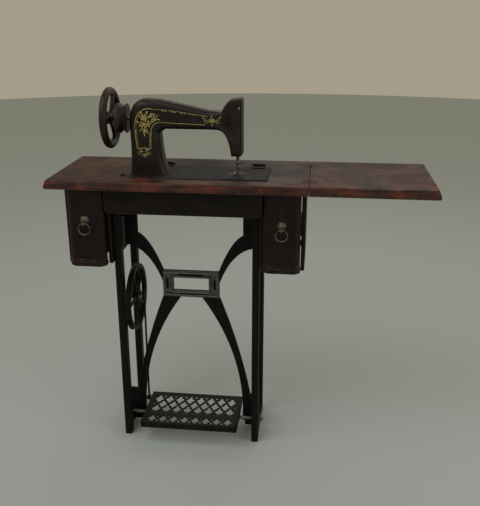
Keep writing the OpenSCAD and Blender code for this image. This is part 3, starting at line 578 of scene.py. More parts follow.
def round_hole(x, y, radius, steps=48):
    """A circle of points, anticlockwise."""
    angle = np.linspace(0, 2 * math.pi, steps, endpoint=False)
    return np.stack([x + radius * np.cos(angle), y + radius * np.sin(angle)], 1)


pull_y, pull_z, ring_r = -144, 658, 15
for hand, x in drawer_x.items():
    rose = turned([(0, -0.5), (11, -0.5), (11, 0.7, 1), (10.2, 1.5), (8.6, 1.3), (7.2, 2.4, 1),
                   (6.4, 2.6), (5.6, 4.0), (3.6, 5.0, 1), (0, 5.4, 1)], 64,
                  (8, [0, 0.06, 0.07, 0.09, 0.08, 0.02, 0, 0, 0, 0]))
    rose = moved(laid(rose, "y"), (x, -136, pull_z + 8))
    lug_outline = eased([(-4.4, -4.4), (4.4, -4.4), (4.4, 8), (-4.4, 8)], 2.6, 4)
    lug = laid(plate(lug_outline, -2, 2, 0.6, [round_hole(0, 0, 2.5, 16)]), "x")
    lug = moved(laid(lug, "y"), (x, pull_y, pull_z))
    piece(hand + "_rosette", joined(rose, lug), hand + "_drawer", pull_metal,
          [hand + "_pull_rosette"])
    round_path = np.linspace(0, 2 * math.pi, 56, endpoint=False)
    ring = np.stack([x + ring_r * np.cos(round_path), np.full(56, float(pull_y)),
                     pull_z - ring_r + ring_r * np.sin(round_path)], 1)
    piece(hand + "_ring_wire", wire(ring, 2.0, 12), hand + "_ring", pull_metal,
          [hand + "_pull_ring"])


# ---- Side frames ----
# Two cast-iron frames, each a pair of square legs tied by rails, with lugs for the cross brace,
# an ear for the treadle rod and flanges screwed up into the table. Stove-black japan over sand
# casting, brown where it has rusted through.
def iron(name, black, brown, rust, rough):
    """Japanned cast iron. Sand grit of 1.6 mm shows through the coat, brown rust
    blooms in patches of 30 mm, and the edges are rubbed to bare grey iron."""
    material, tree, place = blank_material(name)
    cloud = add(tree, "TexNoise", {"Vector": place, "Scale": 1 / 0.03, "Detail": 6,
                                   "Roughness": 0.66, "Distortion": 0.5}).outputs[0]
    coat = add(tree, "ValToRGB", {"Fac": cloud}, [(0.42, black), (0.62, brown)]).outputs[0]
    specks = add(tree, "TexNoise", {"Vector": place, "Scale": 1 / 0.006, "Detail": 4,
                                    "Roughness": 0.7}).outputs[0]
    rusted = add(tree, "ValToRGB", {"Fac": specks}, [(0.56, 0.0), (0.68, 0.55)]).outputs[0]
    base = add(tree, "Mix", {0: rusted, 6: coat, 7: to_linear(rust)}, data_type="RGBA").outputs[2]
    rub = add(tree, "ValToRGB", {"Fac": specks}, [(0.46, 0.0), (0.64, 0.5)]).outputs[0]
    worn = add(tree, "Math", {0: add(tree, "Attribute", attribute_name="wear").outputs["Fac"],
                              1: rub}, operation="MULTIPLY").outputs[0]
    colour = add(tree, "Mix", {0: worn, 6: base, 7: to_linear("#33302d")},
                 data_type="RGBA").outputs[2]
    sand = add(tree, "TexNoise", {"Vector": place, "Scale": 1 / (1.6 * MM),
                                  "Detail": 2}).outputs[0]
    roughness = add(tree, "MapRange", {0: cloud, 1: 0.3, 2: 0.7, 3: rough,
                                       4: rough + 0.22}).outputs[0]
    normal = add(tree, "Bump", {"Strength": 0.35, "Distance": 0.0005, "Height": sand}).outputs[0]
    shader = add(tree, "BsdfPrincipled", {"Base Color": colour, "Roughness": roughness,
                                          "Normal": normal, "Specular IOR Level": 0.2})
    add(tree, "OutputMaterial", {"Surface": shader.outputs[0]})
    return material


stand_iron = iron("japanned cast iron", "#070707", "#0c0a09", "#170f0b", 0.46)


def crosswise(hand, depth, y0, y1, z0, z1, soften=1.4):
    """A bar from a frame's outer face inwards by a depth."""
    outer, way = (leg_faces[hand][0], 1) if hand == "left" else (leg_faces[hand][1], -1)
    near, far = sorted((outer, outer + way * depth))
    return bar((near, y0, z0), (far, y1, z1), soften)


leg_faces = {"left": (-335, -316), "right": (34, 53)}
axle_y, axle_z = -2, 400
for hand, (x0, x1) in leg_faces.items():
    bars = [bar((x0, y, 0), (x1, y + 28, under_z), 2.0, 3.2) for y in (-92, 64)]
    bars += [crosswise(hand, 13, -90, 90, 8, 28), crosswise(hand, 13, -90, 90, 718, under_z)]
    bars += [crosswise(hand, 45, -18, -8, 8, 110), crosswise(hand, 45, -18, -8, 642, under_z)]
    bars += [crosswise(hand, 13, -57, -35, 22, 62)]
    bars += [crosswise(hand, 24, y, y + 24, 742, under_z, 0.8) for y in (-65, 41)]
    if hand == "left":
        bars += [crosswise(hand, 13, -66, 66, 391, 409)]
        boss = turned([(0, 0), (15, 0), (15, 12.5), (13.5, 14.6, 1), (12, 15), (0, 15)], 32)
        bars += [moved(laid(boss, "x"), (x0, axle_y, axle_z))]
    piece(hand + "_frame_casting", joined(*bars), "stand", stand_iron,
          [hand + "_side_frame"])


# ---- Cross brace ----
# A flat iron casting bolted between the side frames: four curved arms that meet in a
# rectangular ring. Its edges are well rounded, and it is japanned like the frames.
def curve(a, c, b, steps=14):
    """Points on a parabola from a to b, pulled towards c."""
    a, b, c = (np.array(p, float) for p in (a, b, c))
    t = np.linspace(0, 1, steps)[:, None]
    return (1 - t) ** 2 * a + 2 * t * (1 - t) * c + t * t * b


stand_x = -141
upper = np.concatenate([curve((76.5, 494), (111.5, 585), (144, 600)), [(144, 734), (179, 734)],
                        curve((179, 566), (113.5, 560), (76.5, 452))])
lower = np.concatenate([curve((78.5, 421), (149.5, 240), (179, 40)), [(179, 28), (144, 28)],
                        curve((144, 34), (151.5, 247), (26.5, 421))])[::-1]
parts = []
for arm_outline in (upper, lower):
    for s in (-1, 1):
        outline = arm_outline * (s, 1)
        area = (outline[:, 0] * np.roll(outline[:, 1], -1) - np.roll(outline[:, 0], -1)
                * outline[:, 1]).sum()
        outline = outline if area > 0 else outline[::-1]
        parts.append(plate(outline + (stand_x, 0), 18.2, 28, 2.2))
hub_path = box_path((-219.5, 418), (-62.5, 494), 3)
eye_path = box_path((-190.5, 436), (-91.5, 474), 2)
parts.append(plate(hub_path, 18, 28, 0.8, [eye_path]))
piece("brace_casting", laid(joined(*parts), "y"), "stand", stand_iron,
      ["cross_brace"])


# ---- Badge frame ----
# A moulded rectangular frame on the middle of the brace, with no badge in it. It is cast iron
# rubbed to bare metal: a raised outer bead, a sunk field pierced by long slots, an inner bead.
bare_iron = metal("bare grey iron", "#77756f", "#4f4c48", "#211e1b", 0.40, 3.0, 0.4)
field_holes = [eye_path]
for x0, x1, z0, z1 in ((-176, -106, 480, 486), (-176, -106, 424.5, 430),
                       (-210, -204, 440, 472), (-78, -72, 440, 472)):
    field_holes.append(box_path((x0, z0), (x1, z1), 2.7, 4))
field = plate(box_path((-219.5, 418), (-62.5, 494), 2), 28, 31, 0.8, field_holes)
bead = np.array([(0, 28.5, 0), (0.2, 31.5, 0.3), (1.0, 33.6, 1), (2.6, 34.8, 1), (4.6, 35, 1),
                 (6.2, 34, 0.6), (7.2, 32.0, 0), (7.6, 28.5, 0)])
outer_bead = wall(drawn_in(hub_path, 1.2), bead)
inner_bead = wall(drawn_in(eye_path, -1.0)[::-1], bead * (0.8, 1, 1))
piece("badge_moulding", laid(joined(field, outer_bead, inner_bead), "y"), "stand", bare_iron,
      ["brace_badge_frame"])


# ---- Brace bolts ----
# Round-headed bolts through the pads, with hexagon nuts on the lugs behind them.
def hexagon(across, low, high):
    """A hexagon nut with its corners turned off at both ends."""
    angle = np.linspace(0, 2 * math.pi, 6, endpoint=False) + 0.5
    outline = np.stack([np.cos(angle), np.sin(angle)], 1) * across / math.sqrt(3)
    return plate(eased(outline, 1.0, 2), low, high, 0.9)


bolts = []
for s in (-1, 1):
    for along, z in ((162, 50), (162, 90), (163, 662), (163, 712)):
        head = turned([(0, 26), (3.4, 26), (6, 28), (6, 29.4), (5.2, 31.6, 1), (3.2, 32.7, 1),
                       (0, 33)], 24)
        shank = turned([(0, 0), (3.5, 0.1), (3.5, 27), (0, 27)], 16)
        nut = hexagon(13.5, 3, 8)
        at = (stand_x + s * along, z, 0)
        bolts += [moved(head, at), moved(shank, at), moved(nut, at)]
piece("brace_bolt_set", laid(joined(*bolts), "y"), "stand", stand_iron,
      ["brace_bolts"])
dress(["frame_screws"], dull_steel)


# ---- Treadle ----
# An iron grid that rocks on a rod: a frame with a deeper rim, a bar across between two fields
# of lattice, and rows of cast quatrefoils with small three-sided holes along the field edges.
def quatrefoil(x, y, deep, wide=9.6):
    """An outline whose radius swells four times in a turn, drawn out from front to back, with
    its front a little fuller than its back."""
    angle = np.linspace(0, 2 * math.pi, 36, endpoint=False)
    swell = 1 + 0.19 * np.cos(4 * angle)
    return np.stack([x + wide * swell * np.cos(angle) * (1 - 0.22 * np.sin(angle)),
                     y + deep * swell * np.sin(angle)], 1)


def three_sided(x, y, wide, deep):
    """A small triangle with eased corners; a negative depth points it to the back."""
    corners = [(x - wide, y), (x, y - deep), (x + wide, y)]
    return eased(corners if deep > 0 else corners[::-1], 1.2, 2)


treadle_x0, treadle_x1, treadle_y0, treadle_y1 = -278, -4, -129, 36
treadle_top, rim_low = 70, 51
rod_y, rod_z = -46, 50
pitch = 274 / 8.8
pierced = []
for row_y, count, deep in ((-105.5, 8, 13.4), (-54, 8, 16.6), (-28.5, 7, 15.2), (-1.0, 8, 16.6)):
    pierced += [quatrefoil(stand_x + (k - (count - 1) / 2) * pitch, row_y, deep=deep)
                for k in range(count)]
for k in range(7):
    between = stand_x + (k - 3) * pitch
    pierced += [three_sided(between, 18.5, 5.6, 11), three_sided(between, -73, 3.4, -8),
                three_sided(between, -92, 4.0, 8), three_sided(between, -120, 5.0, -13)]
for s in (-1, 1):
    pierced.append(three_sided(stand_x + s * 3.9 * pitch, -24, 2.6, 10))
grid = plate(box_path((treadle_x0 + 2, treadle_y0 + 2), (treadle_x1 - 2, treadle_y1 - 2), 2),
             66.2, 69.6, 0.8, pierced)
rims = [bar((treadle_x0, treadle_y0, rim_low), (treadle_x1, treadle_y0 + 8, treadle_top), 1.6, 2.5),
        bar((treadle_x0, treadle_y1 - 8, 61), (treadle_x1, treadle_y1, treadle_top), 1.6, 2.5),
        bar((treadle_x0, treadle_y0, rim_low), (treadle_x0 + 8, treadle_y1, treadle_top), 1.6, 2.5),
        bar((treadle_x1 - 8, treadle_y0, rim_low), (treadle_x1, treadle_y1, treadle_top), 1.6, 2.5),
        bar((treadle_x0 + 4, -87, 63.5), (treadle_x1 - 4, -80, treadle_top), 1.4)]
ear = turned([(0, 0), (10, 0), (11, 1, 1), (11, 6, 1), (10, 7), (0, 7)], 28)
ears = [moved(laid(ear, "x"), (x, rod_y, rod_z)) for x in (treadle_x0, treadle_x1 - 7)]
ears += [bar((x, rod_y - 11, rod_z), (x + 7, rod_y + 11, 69), 1.2)
         for x in (treadle_x0, treadle_x1 - 7)]
treadle_iron = iron("trodden cast iron", "#0f0d0c", "#1c1412", "#2b1b16", 0.42)
piece("treadle_casting", joined(grid, *rims, *ears), "treadle", treadle_iron,
      ["treadle_plate"])


# ---- Treadle rod, stud and pitman ----
# A steel rod through both ears with a nut at each end, a stud on the treadle's left side, and
# the flat iron pitman that lifts and pulls the crank.
rod = laid(round_bar(5, -346, 64, 0.8), "x")
piece("treadle_axle", moved(rod, (0, rod_y, rod_z)), "stand", dull_steel, ["treadle_rod"])
nuts = [moved(laid(hexagon(17.5, 0, 7), "x"), (x, rod_y, rod_z)) for x in (-342, 53)]
piece("axle_nut_pair", joined(*nuts), "stand", dull_steel, ["treadle_rod_nuts"])
stud = turned([(0, -17), (6, -17), (6.5, -16.4, 1), (6.5, -13.9, 1), (6, -13.3), (4, -13.3), (4, -5),
               (6, -5), (6.5, -4.4, 1), (6.5, 0), (4, 0), (4, 7), (0, 7)], 24)
stud_y, stud_z = 20, 59
piece("pitman_stud", moved(laid(stud, "x"), (treadle_x0, stud_y, stud_z)), "treadle", dull_steel,
      ["treadle_stud"])
strap = eased([(-4.5, 62), (-3.6, 110), (-3.6, 350), (-4.5, 397), (4.5, 397), (3.6, 350),
               (3.6, 110), (4.5, 62)][::-1], 1.0, 2)
eye = [(4.1, 0), (8, 0), (9, 1, 1), (9, 5, 1), (8, 6), (4.1, 6), (4.1, 0)]
link = joined(moved(laid(plate(strap, -290.4, -285.6, 1.0), "x"), (0, stud_y, 0)),
              *(moved(laid(turned(eye, 28), "x"), (-291, stud_y, z)) for z in (stud_z, axle_z)))
piece("pitman_strap", link, "pitman", treadle_iron, ["pitman"])


# ---- Drive wheel ----
# A cast wheel with a belt groove, five waisted spokes and a boss for the crank pin. It turns
# on an axle set in the left frame, close beside the legs.
def spoke(inner, outer, waist, flare_by, thick):
    """A spoke along the first axis: its width grows with the square of the distance from the
    middle, its section is an oval."""
    rows, sides = 12, 14
    t = np.linspace(0, 1, rows)[:, None]
    angle = np.linspace(0, 2 * math.pi, sides, endpoint=False)[None]
    half = waist + flare_by * (2 * t - 1) ** 2
    across = half * np.sign(np.cos(angle)) * np.abs(np.cos(angle)) ** 0.8
    up = thick * np.sin(angle) + 0 * t
    along = inner + (outer - inner) * t + 0 * angle
    points = np.stack([along, across, up], 2).reshape(-1, 3)
    k, i = np.arange(rows - 1)[:, None] * sides, np.arange(sides)[None]
    beside = (i + 1) % sides
    faces = np.stack([k + i, k + sides + i, k + sides + beside, k + beside], 2).reshape(-1, 4)
    last = (rows - 1) * sides
    ends = [np.arange(sides)[None], np.arange(last + sides - 1, last - 1, -1)[None]]
    return points, [faces, *ends], np.zeros(len(points))


def spun(shape, angle):
    """A shape turned about the height axis by an angle in degrees."""
    c, s = math.cos(math.radians(angle)), math.sin(math.radians(angle))
    return shape[0] @ np.array([(c, s, 0), (-s, c, 0), (0, 0, 1)]), shape[1], shape[2]


rim = [(82, 2), (83, 1.2), (92, 0), (94.2, 0.3, 1), (95, 1, 1), (91.4, 5.4), (91, 7.5), (91.4, 9.6),
       (95, 14, 1), (94.2, 14.7, 1), (92, 15), (83, 13.8), (82, 13), (81.4, 7.5), (82, 2)]
hub = [(6.1, 0), (13.6, 0), (15, 1.2, 1), (15, 13.8, 1), (13.6, 15), (6.1, 15), (6.1, 0)]
pin_boss = turned([(0, 0.5), (8, 0.5), (9, 1.4, 1), (9, 13.6, 1), (8, 14.5), (0, 14.5)], 24)
wheel = [turned(rim, 72), turned(hub, 32), moved(pin_boss, (22, 0, 0))]
wheel += [moved(spun(spoke(11, 85, 4.6, 3.2, 4.2), 72 * k + 36), (0, 0, 7.5)) for k in range(5)]
piece("treadle_wheel", moved(laid(joined(*wheel), "x"), (-312, axle_y, axle_z)), "drive_wheel",
      stand_iron, ["drive_wheel"])
dress(["wheel_axle", "crank_pin"], dull_steel)


# ---- Bed ----
# The head's base plate: grey iron, planed, then japanned black and baked. It is open under the
# needle, has hangers for the hook shaft and is worn dull and bluish where cloth has slid.
def japan(name, black, brown, haze, rough, coat):
    """Baked japan. Deep gloss black that has turned brown in clouds of 45 mm, hazed by fine
    scratches 0.8 mm apart and by dust, and rubbed to brown iron along the edges."""
    material, tree, place = blank_material(name)
    cloud = add(tree, "TexNoise", {"Vector": place, "Scale": 1 / 0.045, "Detail": 6,
                                   "Roughness": 0.62, "Distortion": 0.6}).outputs[0]
    coat_colour = add(tree, "ValToRGB", {"Fac": cloud}, [(0.40, black), (0.66, brown)]).outputs[0]
    fine = add(tree, "TexNoise", {"Vector": place, "Scale": 1 / 0.009, "Detail": 7,
                                  "Roughness": 0.75}).outputs[0]
    hazed = add(tree, "ValToRGB", {"Fac": fine}, [(0.50, 0.0), (0.70, 0.55)]).outputs[0]
    base = add(tree, "Mix", {0: hazed, 6: coat_colour, 7: to_linear(haze)},
               data_type="RGBA").outputs[2]
    rub = add(tree, "ValToRGB", {"Fac": fine}, [(0.42, 0.0), (0.58, 0.7)]).outputs[0]
    worn = add(tree, "Math", {0: add(tree, "Attribute", attribute_name="wear").outputs["Fac"],
                              1: rub}, operation="MULTIPLY").outputs[0]
    colour = add(tree, "Mix", {0: worn, 6: base, 7: to_linear("#54463c")},
                 data_type="RGBA").outputs[2]
    scratch_place = add(tree, "Mapping", {"Vector": place, "Rotation": (0.3, 0.5, 0.8),
                                          "Scale": (1, 0.08, 0.5)}).outputs[0]
    scratches = add(tree, "TexNoise", {"Vector": scratch_place, "Scale": 1 / (0.8 * MM),
                                       "Detail": 2}).outputs[0]
    gloss = add(tree, "MapRange", {0: fine, 1: 0.3, 2: 0.72, 3: rough, 4: rough + 0.3}).outputs[0]
    normal = add(tree, "Bump", {"Strength": 0.10, "Distance": 0.0002,
                                "Height": scratches}).outputs[0]
    shader = add(tree, "BsdfPrincipled", {"Base Color": colour, "Roughness": gloss,
                                          "Normal": normal, "Specular IOR Level": 0.3,
                                          "Coat Weight": coat, "Coat Roughness": 0.25})
    add(tree, "OutputMaterial", {"Surface": shader.outputs[0]})
    return material


bed_japan = japan("worn japan on the bed", "#0b0c10", "#171213", "#26262a", 0.50, 0.0)


bed_top, bed_low = 772, 759
plate_x, plate_y = -11, -25
needle_hole = round_hole(plate_x, plate_y, 20)
slide_hole = box_path((-44, -86), (-34, -58), 3)
slab = plate(bed_path, bed_low, 770.2, 0.25, [needle_hole, slide_hole])
notched = eased([(-283, -100), (-50.4, -100), (-50.4, -51.6), (66.4, -51.6), (66.4, -100),
                 (70, -100), (70, 52), (-283, 52)], [9, 0.5, 1, 1, 0.5, 1.6, 9, 9], 6)
sheet_edge = soft_edge(769.9, bed_top, 1.0)
plate_hole = round_hole(plate_x, plate_y, 24)[::-1]
lip_hole = drawn_in(plate_hole, 0.4)
skin = joined(wall(notched, sheet_edge),
              wall(plate_hole, np.array([(0, 769.9, 0), (0, 771.8, 0.5), (0.4, 772, 0.5)])),
              cap([drawn_in(notched, 1.6), lip_hole], bed_top),
              cap([drawn_in(notched, 1.6), plate_hole], 769.9, False))
hangers = [bar((x, -38, 731), (x + 8, -10, 759.5), 1.2) for x in (-272, -68)]
piece("bed_casting", joined(slab, skin, *hangers), "head", bed_japan, ["bed"])


# ---- Plates in the bed ----
# A blued steel slide plate that uncovers the hook, a bright round needle plate held by two
# screws, and the feed dog's two toothed bars in its slots.
blued_steel = metal("worn blued steel", "#2f3134", "#1d1f22", "#121316", 0.46, 5.0, 0.15)
grimed_steel = metal("steel under old oil", "#5f5a52", "#3f3a34", "#211e1a", 0.48, 3.0, 0.2)
black_steel_and_shade = metal("steel blackened with oil and painted shade", "#3f3b37", "#282522", "#141210", 0.44, 3.0)
bright_steel = metal("bright steel, spotted", "#aeaba4", "#7f7b75", "#3e3a36", 0.26, 2.0, 0.15)
notch = np.array([(5 * math.cos(a), 5 * math.sin(a)) for a in np.linspace(math.pi * 0.87,
                                                                       math.pi * 0.13, 7)])
slide_path = np.concatenate([[(-50, -96)], notch + (8, -98), [(66, -96), (66, -52), (-50, -52)]])
piece("slide_cover", plate(slide_path, 770.6, 772, 0.35), "slide_plate", blued_steel,
      ["slide_plate"])
slots = [box_path((x, -39), (x + 4, -13), 0.5) for x in (-17, -9)]
slots.append(round_hole(-11, -31, 1.4, 12))
throat_plate = plate(round_hole(plate_x, plate_y, 23.7), 769.6, 772.05, 0.4, slots)
screw_head = turned([(0, 0), (2.4, 0), (2.2, 0.35, 1), (0, 0.5)], 16)
plate_screws = [moved(screw_head, (plate_x + x, plate_y, bed_top)) for x in (-18.5, 18.5)]
piece("throat_plate", joined(throat_plate, *plate_screws), "head", grimed_steel,
      ["needle_plate"])
teeth_y = np.repeat(np.arange(-35, -17, 1.5), 2)
teeth = np.stack([teeth_y + np.tile([0, 1.1], len(teeth_y) // 2),
                  np.tile([771.0, 771.6], len(teeth_y) // 2)], 1)
saw = np.concatenate([teeth, [(-17, 764), (-35, 764)]])[::-1]
dogs = [laid(plate(saw, x, x + 2.6, 0.05), "x") for x in (-16.3, -8.3)]
dogs.append(bar((-18, -27, 762), (-4, -19, 768), 0.4))
piece("feed_teeth", joined(*dogs), "feed_dog", dull_steel, ["feed_dog"])
# the bed hinges get the near-black steel as painted shade, so that they sink into the painted shadow
# behind the bed
dress(["bed_hinge_fixed", "bed_hinge_moving", "bed_hinge_pins"], black_steel_and_shade)


# ---- Arm ----
# One hollow iron casting: a square pillar that flares on the bed, a shoulder, the arm that
# tapers to the right and the head that holds the needle bar. Its arrises are rounded, broadly
# on the pillar and arm and tightly on the head, and it is japanned black turned brown.
arm_japan = japan("baked japan gone brown", "#0f0b09", "#231812", "#241c18", 0.32, 0.15)
casting = np.concatenate([
    curve((-291, 772), (-287, 792), (-287, 852)), curve((-289, 894), (-287, 961), (-243, 960), 22),
    curve((-206, 958), (-150, 948), (-84, 933)), curve((-50, 930), (-38, 962), (-18, 963)),
    [(-1, 965), (-1, 820), (-25, 820)], curve((-26, 824), (-34, 884), (-60, 885)),
    [(-196, 885)], curve((-209, 876), (-207, 802), (-192, 772))])[::-1]


def even(path, step):
    """A closed path with its points set at even spaces along its length."""
    closed = np.concatenate([path, path[:1]])
    far = np.concatenate([[0], np.cumsum(np.linalg.norm(np.diff(closed, axis=0), axis=1))])
    at = np.arange(0, far[-1], step)
    return np.stack([np.interp(at, far, closed[:, k]) for k in (0, 1)], 1)


def ramped(value, start, end):
    """Nought before the start, one after the end, and an even S in between."""
    t = np.clip((value - start) / (end - start), 0, 1)
    return t * t * (3 - 2 * t)


def to_edge(spots, path, keep):
    """The distance from each spot to the nearest kept edge of a closed path."""
    a, b = path[keep], np.roll(path, -1, 0)[keep]
    span = b - a
    t = ((spots[:, None] - a) * span).sum(2) / np.maximum((span ** 2).sum(1), 1e-9)
    near = a + np.clip(t, 0, 1)[..., None] * span
    return np.linalg.norm(spots[:, None] - near, axis=2).min(1)


skin_path = even(casting, 3.2)
middle = (skin_path + np.roll(skin_path, -1, 0)) / 2
rounded = (middle[:, 0] < -2.2) & (middle[:, 1] > 773.0)


def softness(spots):
    """How far in from the outline the rounding reaches: 19 mm on the pillar, 15 on the arm, 4
    on the head."""
    x, z = spots[:, 0], spots[:, 1]
    to_arm = ramped(x, -232, -190) * ramped(z, 860, 900)
    return 19 - 4 * to_arm - 11 * ramped(x, -78, -40)


def skin_depth(spots, back=False):
    """The casting's surface in front of (or behind) the outline's plane: a quarter round near
    the outline, then flat, with the pillar standing proud of the arm."""
    x, z = spots[:, 0], spots[:, 1]
    to_arm = ramped(x, -250, -196) * ramped(z, 850, 905)
    soft = softness(spots)
    face = (8 - 8 * to_arm + 3 * ramped(x, -62, -44)) if back else (56 - 8 * to_arm)
    t = np.clip(to_edge(spots, skin_path, rounded) / soft, 0, 1)
    return face - soft + soft * np.sqrt(1 - (1 - t) ** 2)


ring_soft = softness(skin_path)
spots = [drawn_in(skin_path, ring_soft * share)[::2]
         for share in (0.03, 0.1, 0.2, 0.34, 0.52, 0.74, 1)]
spots = np.concatenate(spots)
grid_x, grid_z = np.meshgrid(np.arange(-290, 0, 6.0), np.arange(774, 966, 6.0))
spots = np.concatenate([spots, np.stack([grid_x.ravel(), grid_z.ravel()], 1)])
spots = spots[inside(spots, [skin_path])]
spots = spots[to_edge(spots, skin_path, np.ones(len(skin_path), bool)) > 0.35]
flat, tris = filled([skin_path], spots)
front = np.column_stack([flat[:, 0], -skin_depth(flat), flat[:, 1]])
back = np.column_stack([flat[:, 0], skin_depth(flat, True), flat[:, 1]])
edge_front, edge_back = -skin_depth(skin_path), skin_depth(skin_path, True)
rows = np.linspace(0, 1, 4)[:, None]
band = edge_back + (edge_front - edge_back) * rows
side_points = np.stack([np.tile(skin_path[:, 0], (4, 1)), band, np.tile(skin_path[:, 1], (4, 1))], 2)
count = len(skin_path)
k, i = np.arange(3)[:, None] * count, np.arange(count)[None]
side_faces = np.stack([k + i, k + (i + 1) % count, k + count + (i + 1) % count, k + count + i], 2)
no_wear = np.zeros(len(flat))
body = joined((side_points.reshape(-1, 3), side_faces.reshape(-1, 4), np.zeros(4 * count)),
              (front, tris, no_wear), (back, tris[:, ::-1], no_wear))
piece("arm_casting", body, "head", arm_japan, ["arm"], crease=50)


# ---- Face plate ----
# A thin cover over the end of the head, ground flat, japanned like the arm and held by two
# slotted screws. The needle bar, the presser bar and the take-up work behind it.
face_outline = box_path((-46, 822), (2, 962), 4, 5)
cover = laid(plate(face_outline, -1, 2, 1.0), "x")
cover_screw = turned([(0, -1), (3.2, -1), (3.1, 0.5, 1), (2.2, 0.9), (0, 1.0)], 20)
cover_screws = [moved(laid(cover_screw, "x"), (2, -22, z)) for z in (834, 950)]
face_japan = japan("rubbed japan on the face plate", "#120f0d", "#241d18", "#302922", 0.38, 0.1)
piece("end_cover", joined(cover, *cover_screws), "head", face_japan,
      ["face_plate"])


# ---- Handwheel, pulley and clutch knob ----
# A heavy cast wheel with a fat oval rim and three waisted spokes, keyed to the main shaft with
# a grooved pulley for the belt. The knurled knob outside it lets the wheel run free.
wheel_japan = japan("handled japan on the wheel", "#110b09", "#2b1b16", "#32261f", 0.34, 0.15)
around = np.linspace(0, 2 * math.pi, 20, endpoint=False)
rim_profile = [(68 + 10 * math.cos(a), 9 + 10 * math.sin(a)) for a in around]
rim_profile.append(rim_profile[0])
boss_profile = [(6, -1), (15.5, -1), (17, 0.6, 1), (17, 5), (15.4, 9), (15.4, 13), (16.5, 16.5, 1),
                (15, 18), (6, 18)]
wheel = [turned(rim_profile, 80), turned(boss_profile, 40)]
wheel += [moved(spun(spoke(12, 62, 6.0, 5.0, 5.2), 120 * k + 30), (0, 0, 9)) for k in range(3)]
shaft_y, shaft_z = -24, 909
piece("balance_wheel", moved(laid(joined(*wheel), "-x"), (-333, shaft_y, shaft_z)),
      "handwheel", wheel_japan, ["handwheel"])
pulley = turned([(6, 0), (20.5, 0), (22, 0.8, 1), (27, 4), (36.5, 8.4), (38, 9.8, 1), (38, 18.6, 1),
                 (37, 20), (32, 26.5), (31.6, 28), (32, 29.5), (37, 33.6), (38, 34.6, 1), (37.4, 35.8, 1),
                 (36, 36), (6, 36)], 64)
piece("belt_wheel", moved(laid(pulley, "x"), (-333, shaft_y, shaft_z)), "handwheel", wheel_japan,
      ["belt_pulley"])
knob = turned([(6.1, 0.2), (13.4, 0.2), (15, 1.2, 1), (15, 5.2, 1), (13.8, 6), (11, 6), (10.6, 8.2, 1),
               (9.6, 9), (6.1, 9)], 96, (24, [0, 0, 0.045, 0.045, 0, 0, 0, 0, 0]))
piece("clutch_nut", moved(laid(knob, "-x"), (-351.3, shaft_y, shaft_z)), "clutch_knob",
      bright_steel, ["clutch_knob"])
dress(["main_shaft", "rotary_hook"], bright_steel)
dress(["needle_crank", "upright_shaft", "hook_shaft"], dull_steel)
dress(["shaft_bushes"], hinge_brass)


# ---- Needle bar, presser bar and lifter ----
# Ground steel bars that slide in the head. The needle is held by a clamp and its thumb screw,
# the hinged foot by a collar, and a cast lever at the back lifts the foot.
needle_x, needle_y, presser_y = -11, -31, -13
needle_bar = turned([(0, 794), (2.4, 794), (3, 794.8, 1), (3, 922), (0, 922)], 20)
piece("needle_rod", moved(needle_bar, (needle_x, needle_y, 0)), "needle_bar", bright_steel,
      ["needle_bar"])
clamp = turned([(3, 796), (4.4, 796), (5, 796.8, 1), (5, 805.2, 1), (4.4, 806), (3, 806)], 24)
thumb = laid(turned([(0, 3), (1.8, 3), (1.8, 11), (3.4, 11), (4, 11.6, 1), (4, 14.4, 1), (3.4, 15),
                     (0, 15)], 40, (10, [0, 0, 0, 0, 0.07, 0.07, 0, 0])), "x")
piece("needle_collar", moved(joined(clamp, moved(thumb, (0, 0, 801))), (needle_x, needle_y, 0)),
      "needle_bar", dull_steel, ["needle_clamp"])
point = turned([(0, 773), (0.35, 774), (0.8, 780), (0.8, 786), (1, 787), (1, 794.5), (0, 794.5)], 14)
piece("needle_point", moved(point, (needle_x, needle_y, 0)), "needle_bar", bright_steel,
      ["needle"])
guide = bar((-17, -19, 856), (-5, -7, 864), 0.8)
presser = turned([(0, 788), (3, 788), (3, 931.4), (2.4, 932), (0, 932)], 20)
piece("presser_rod", joined(moved(presser, (needle_x, presser_y, 0)), guide), "presser_bar",
      bright_steel, ["presser_bar"])
ankle = turned([(0, 778), (4.4, 778), (5, 778.8, 1), (5, 791.2, 1), (4.4, 792), (0, 792)], 24)
toes = eased([(-8, -43), (-2.6, -43), (-2.6, -28.4), (2.6, -28.4), (2.6, -43), (8, -43), (8, -17.4),
              (-8, -17.4)], 1.0, 3)
sole = plate(toes, 772.1, 774.8, 0.6)
shank = bar((-4, -21, 774.6), (4, -9, 779.5), 0.8)
piece("hinged_foot", joined(moved(ankle, (needle_x, presser_y, 0)), moved(sole, (needle_x, 0, 0)),
                            moved(shank, (needle_x, 0, 0))), "presser_bar", dull_steel,
      ["presser_foot"])
lever = np.concatenate([[(7 * math.cos(a), 75 + 7 * math.sin(a))
                         for a in np.linspace(-0.7, math.pi + 0.7, 14)],
                        [(-3.6, 56)],
                        [(6 * math.cos(a), 44 + 6 * math.sin(a))
                         for a in np.linspace(math.pi * 0.8, math.pi * 2.2, 12)], [(3.6, 56)]])
lever = laid(plate(lever, -11, -6, 1.0), "y")
spindle = laid(turned([(0, -12), (4, -12), (4, 3), (0, 3)], 24), "y")
piece("foot_lifter", joined(moved(lever, (needle_x, 0, bed_top)), moved(spindle, (needle_x, 0, 847))),
      "presser_lifter", dull_steel, ["presser_lifter"])


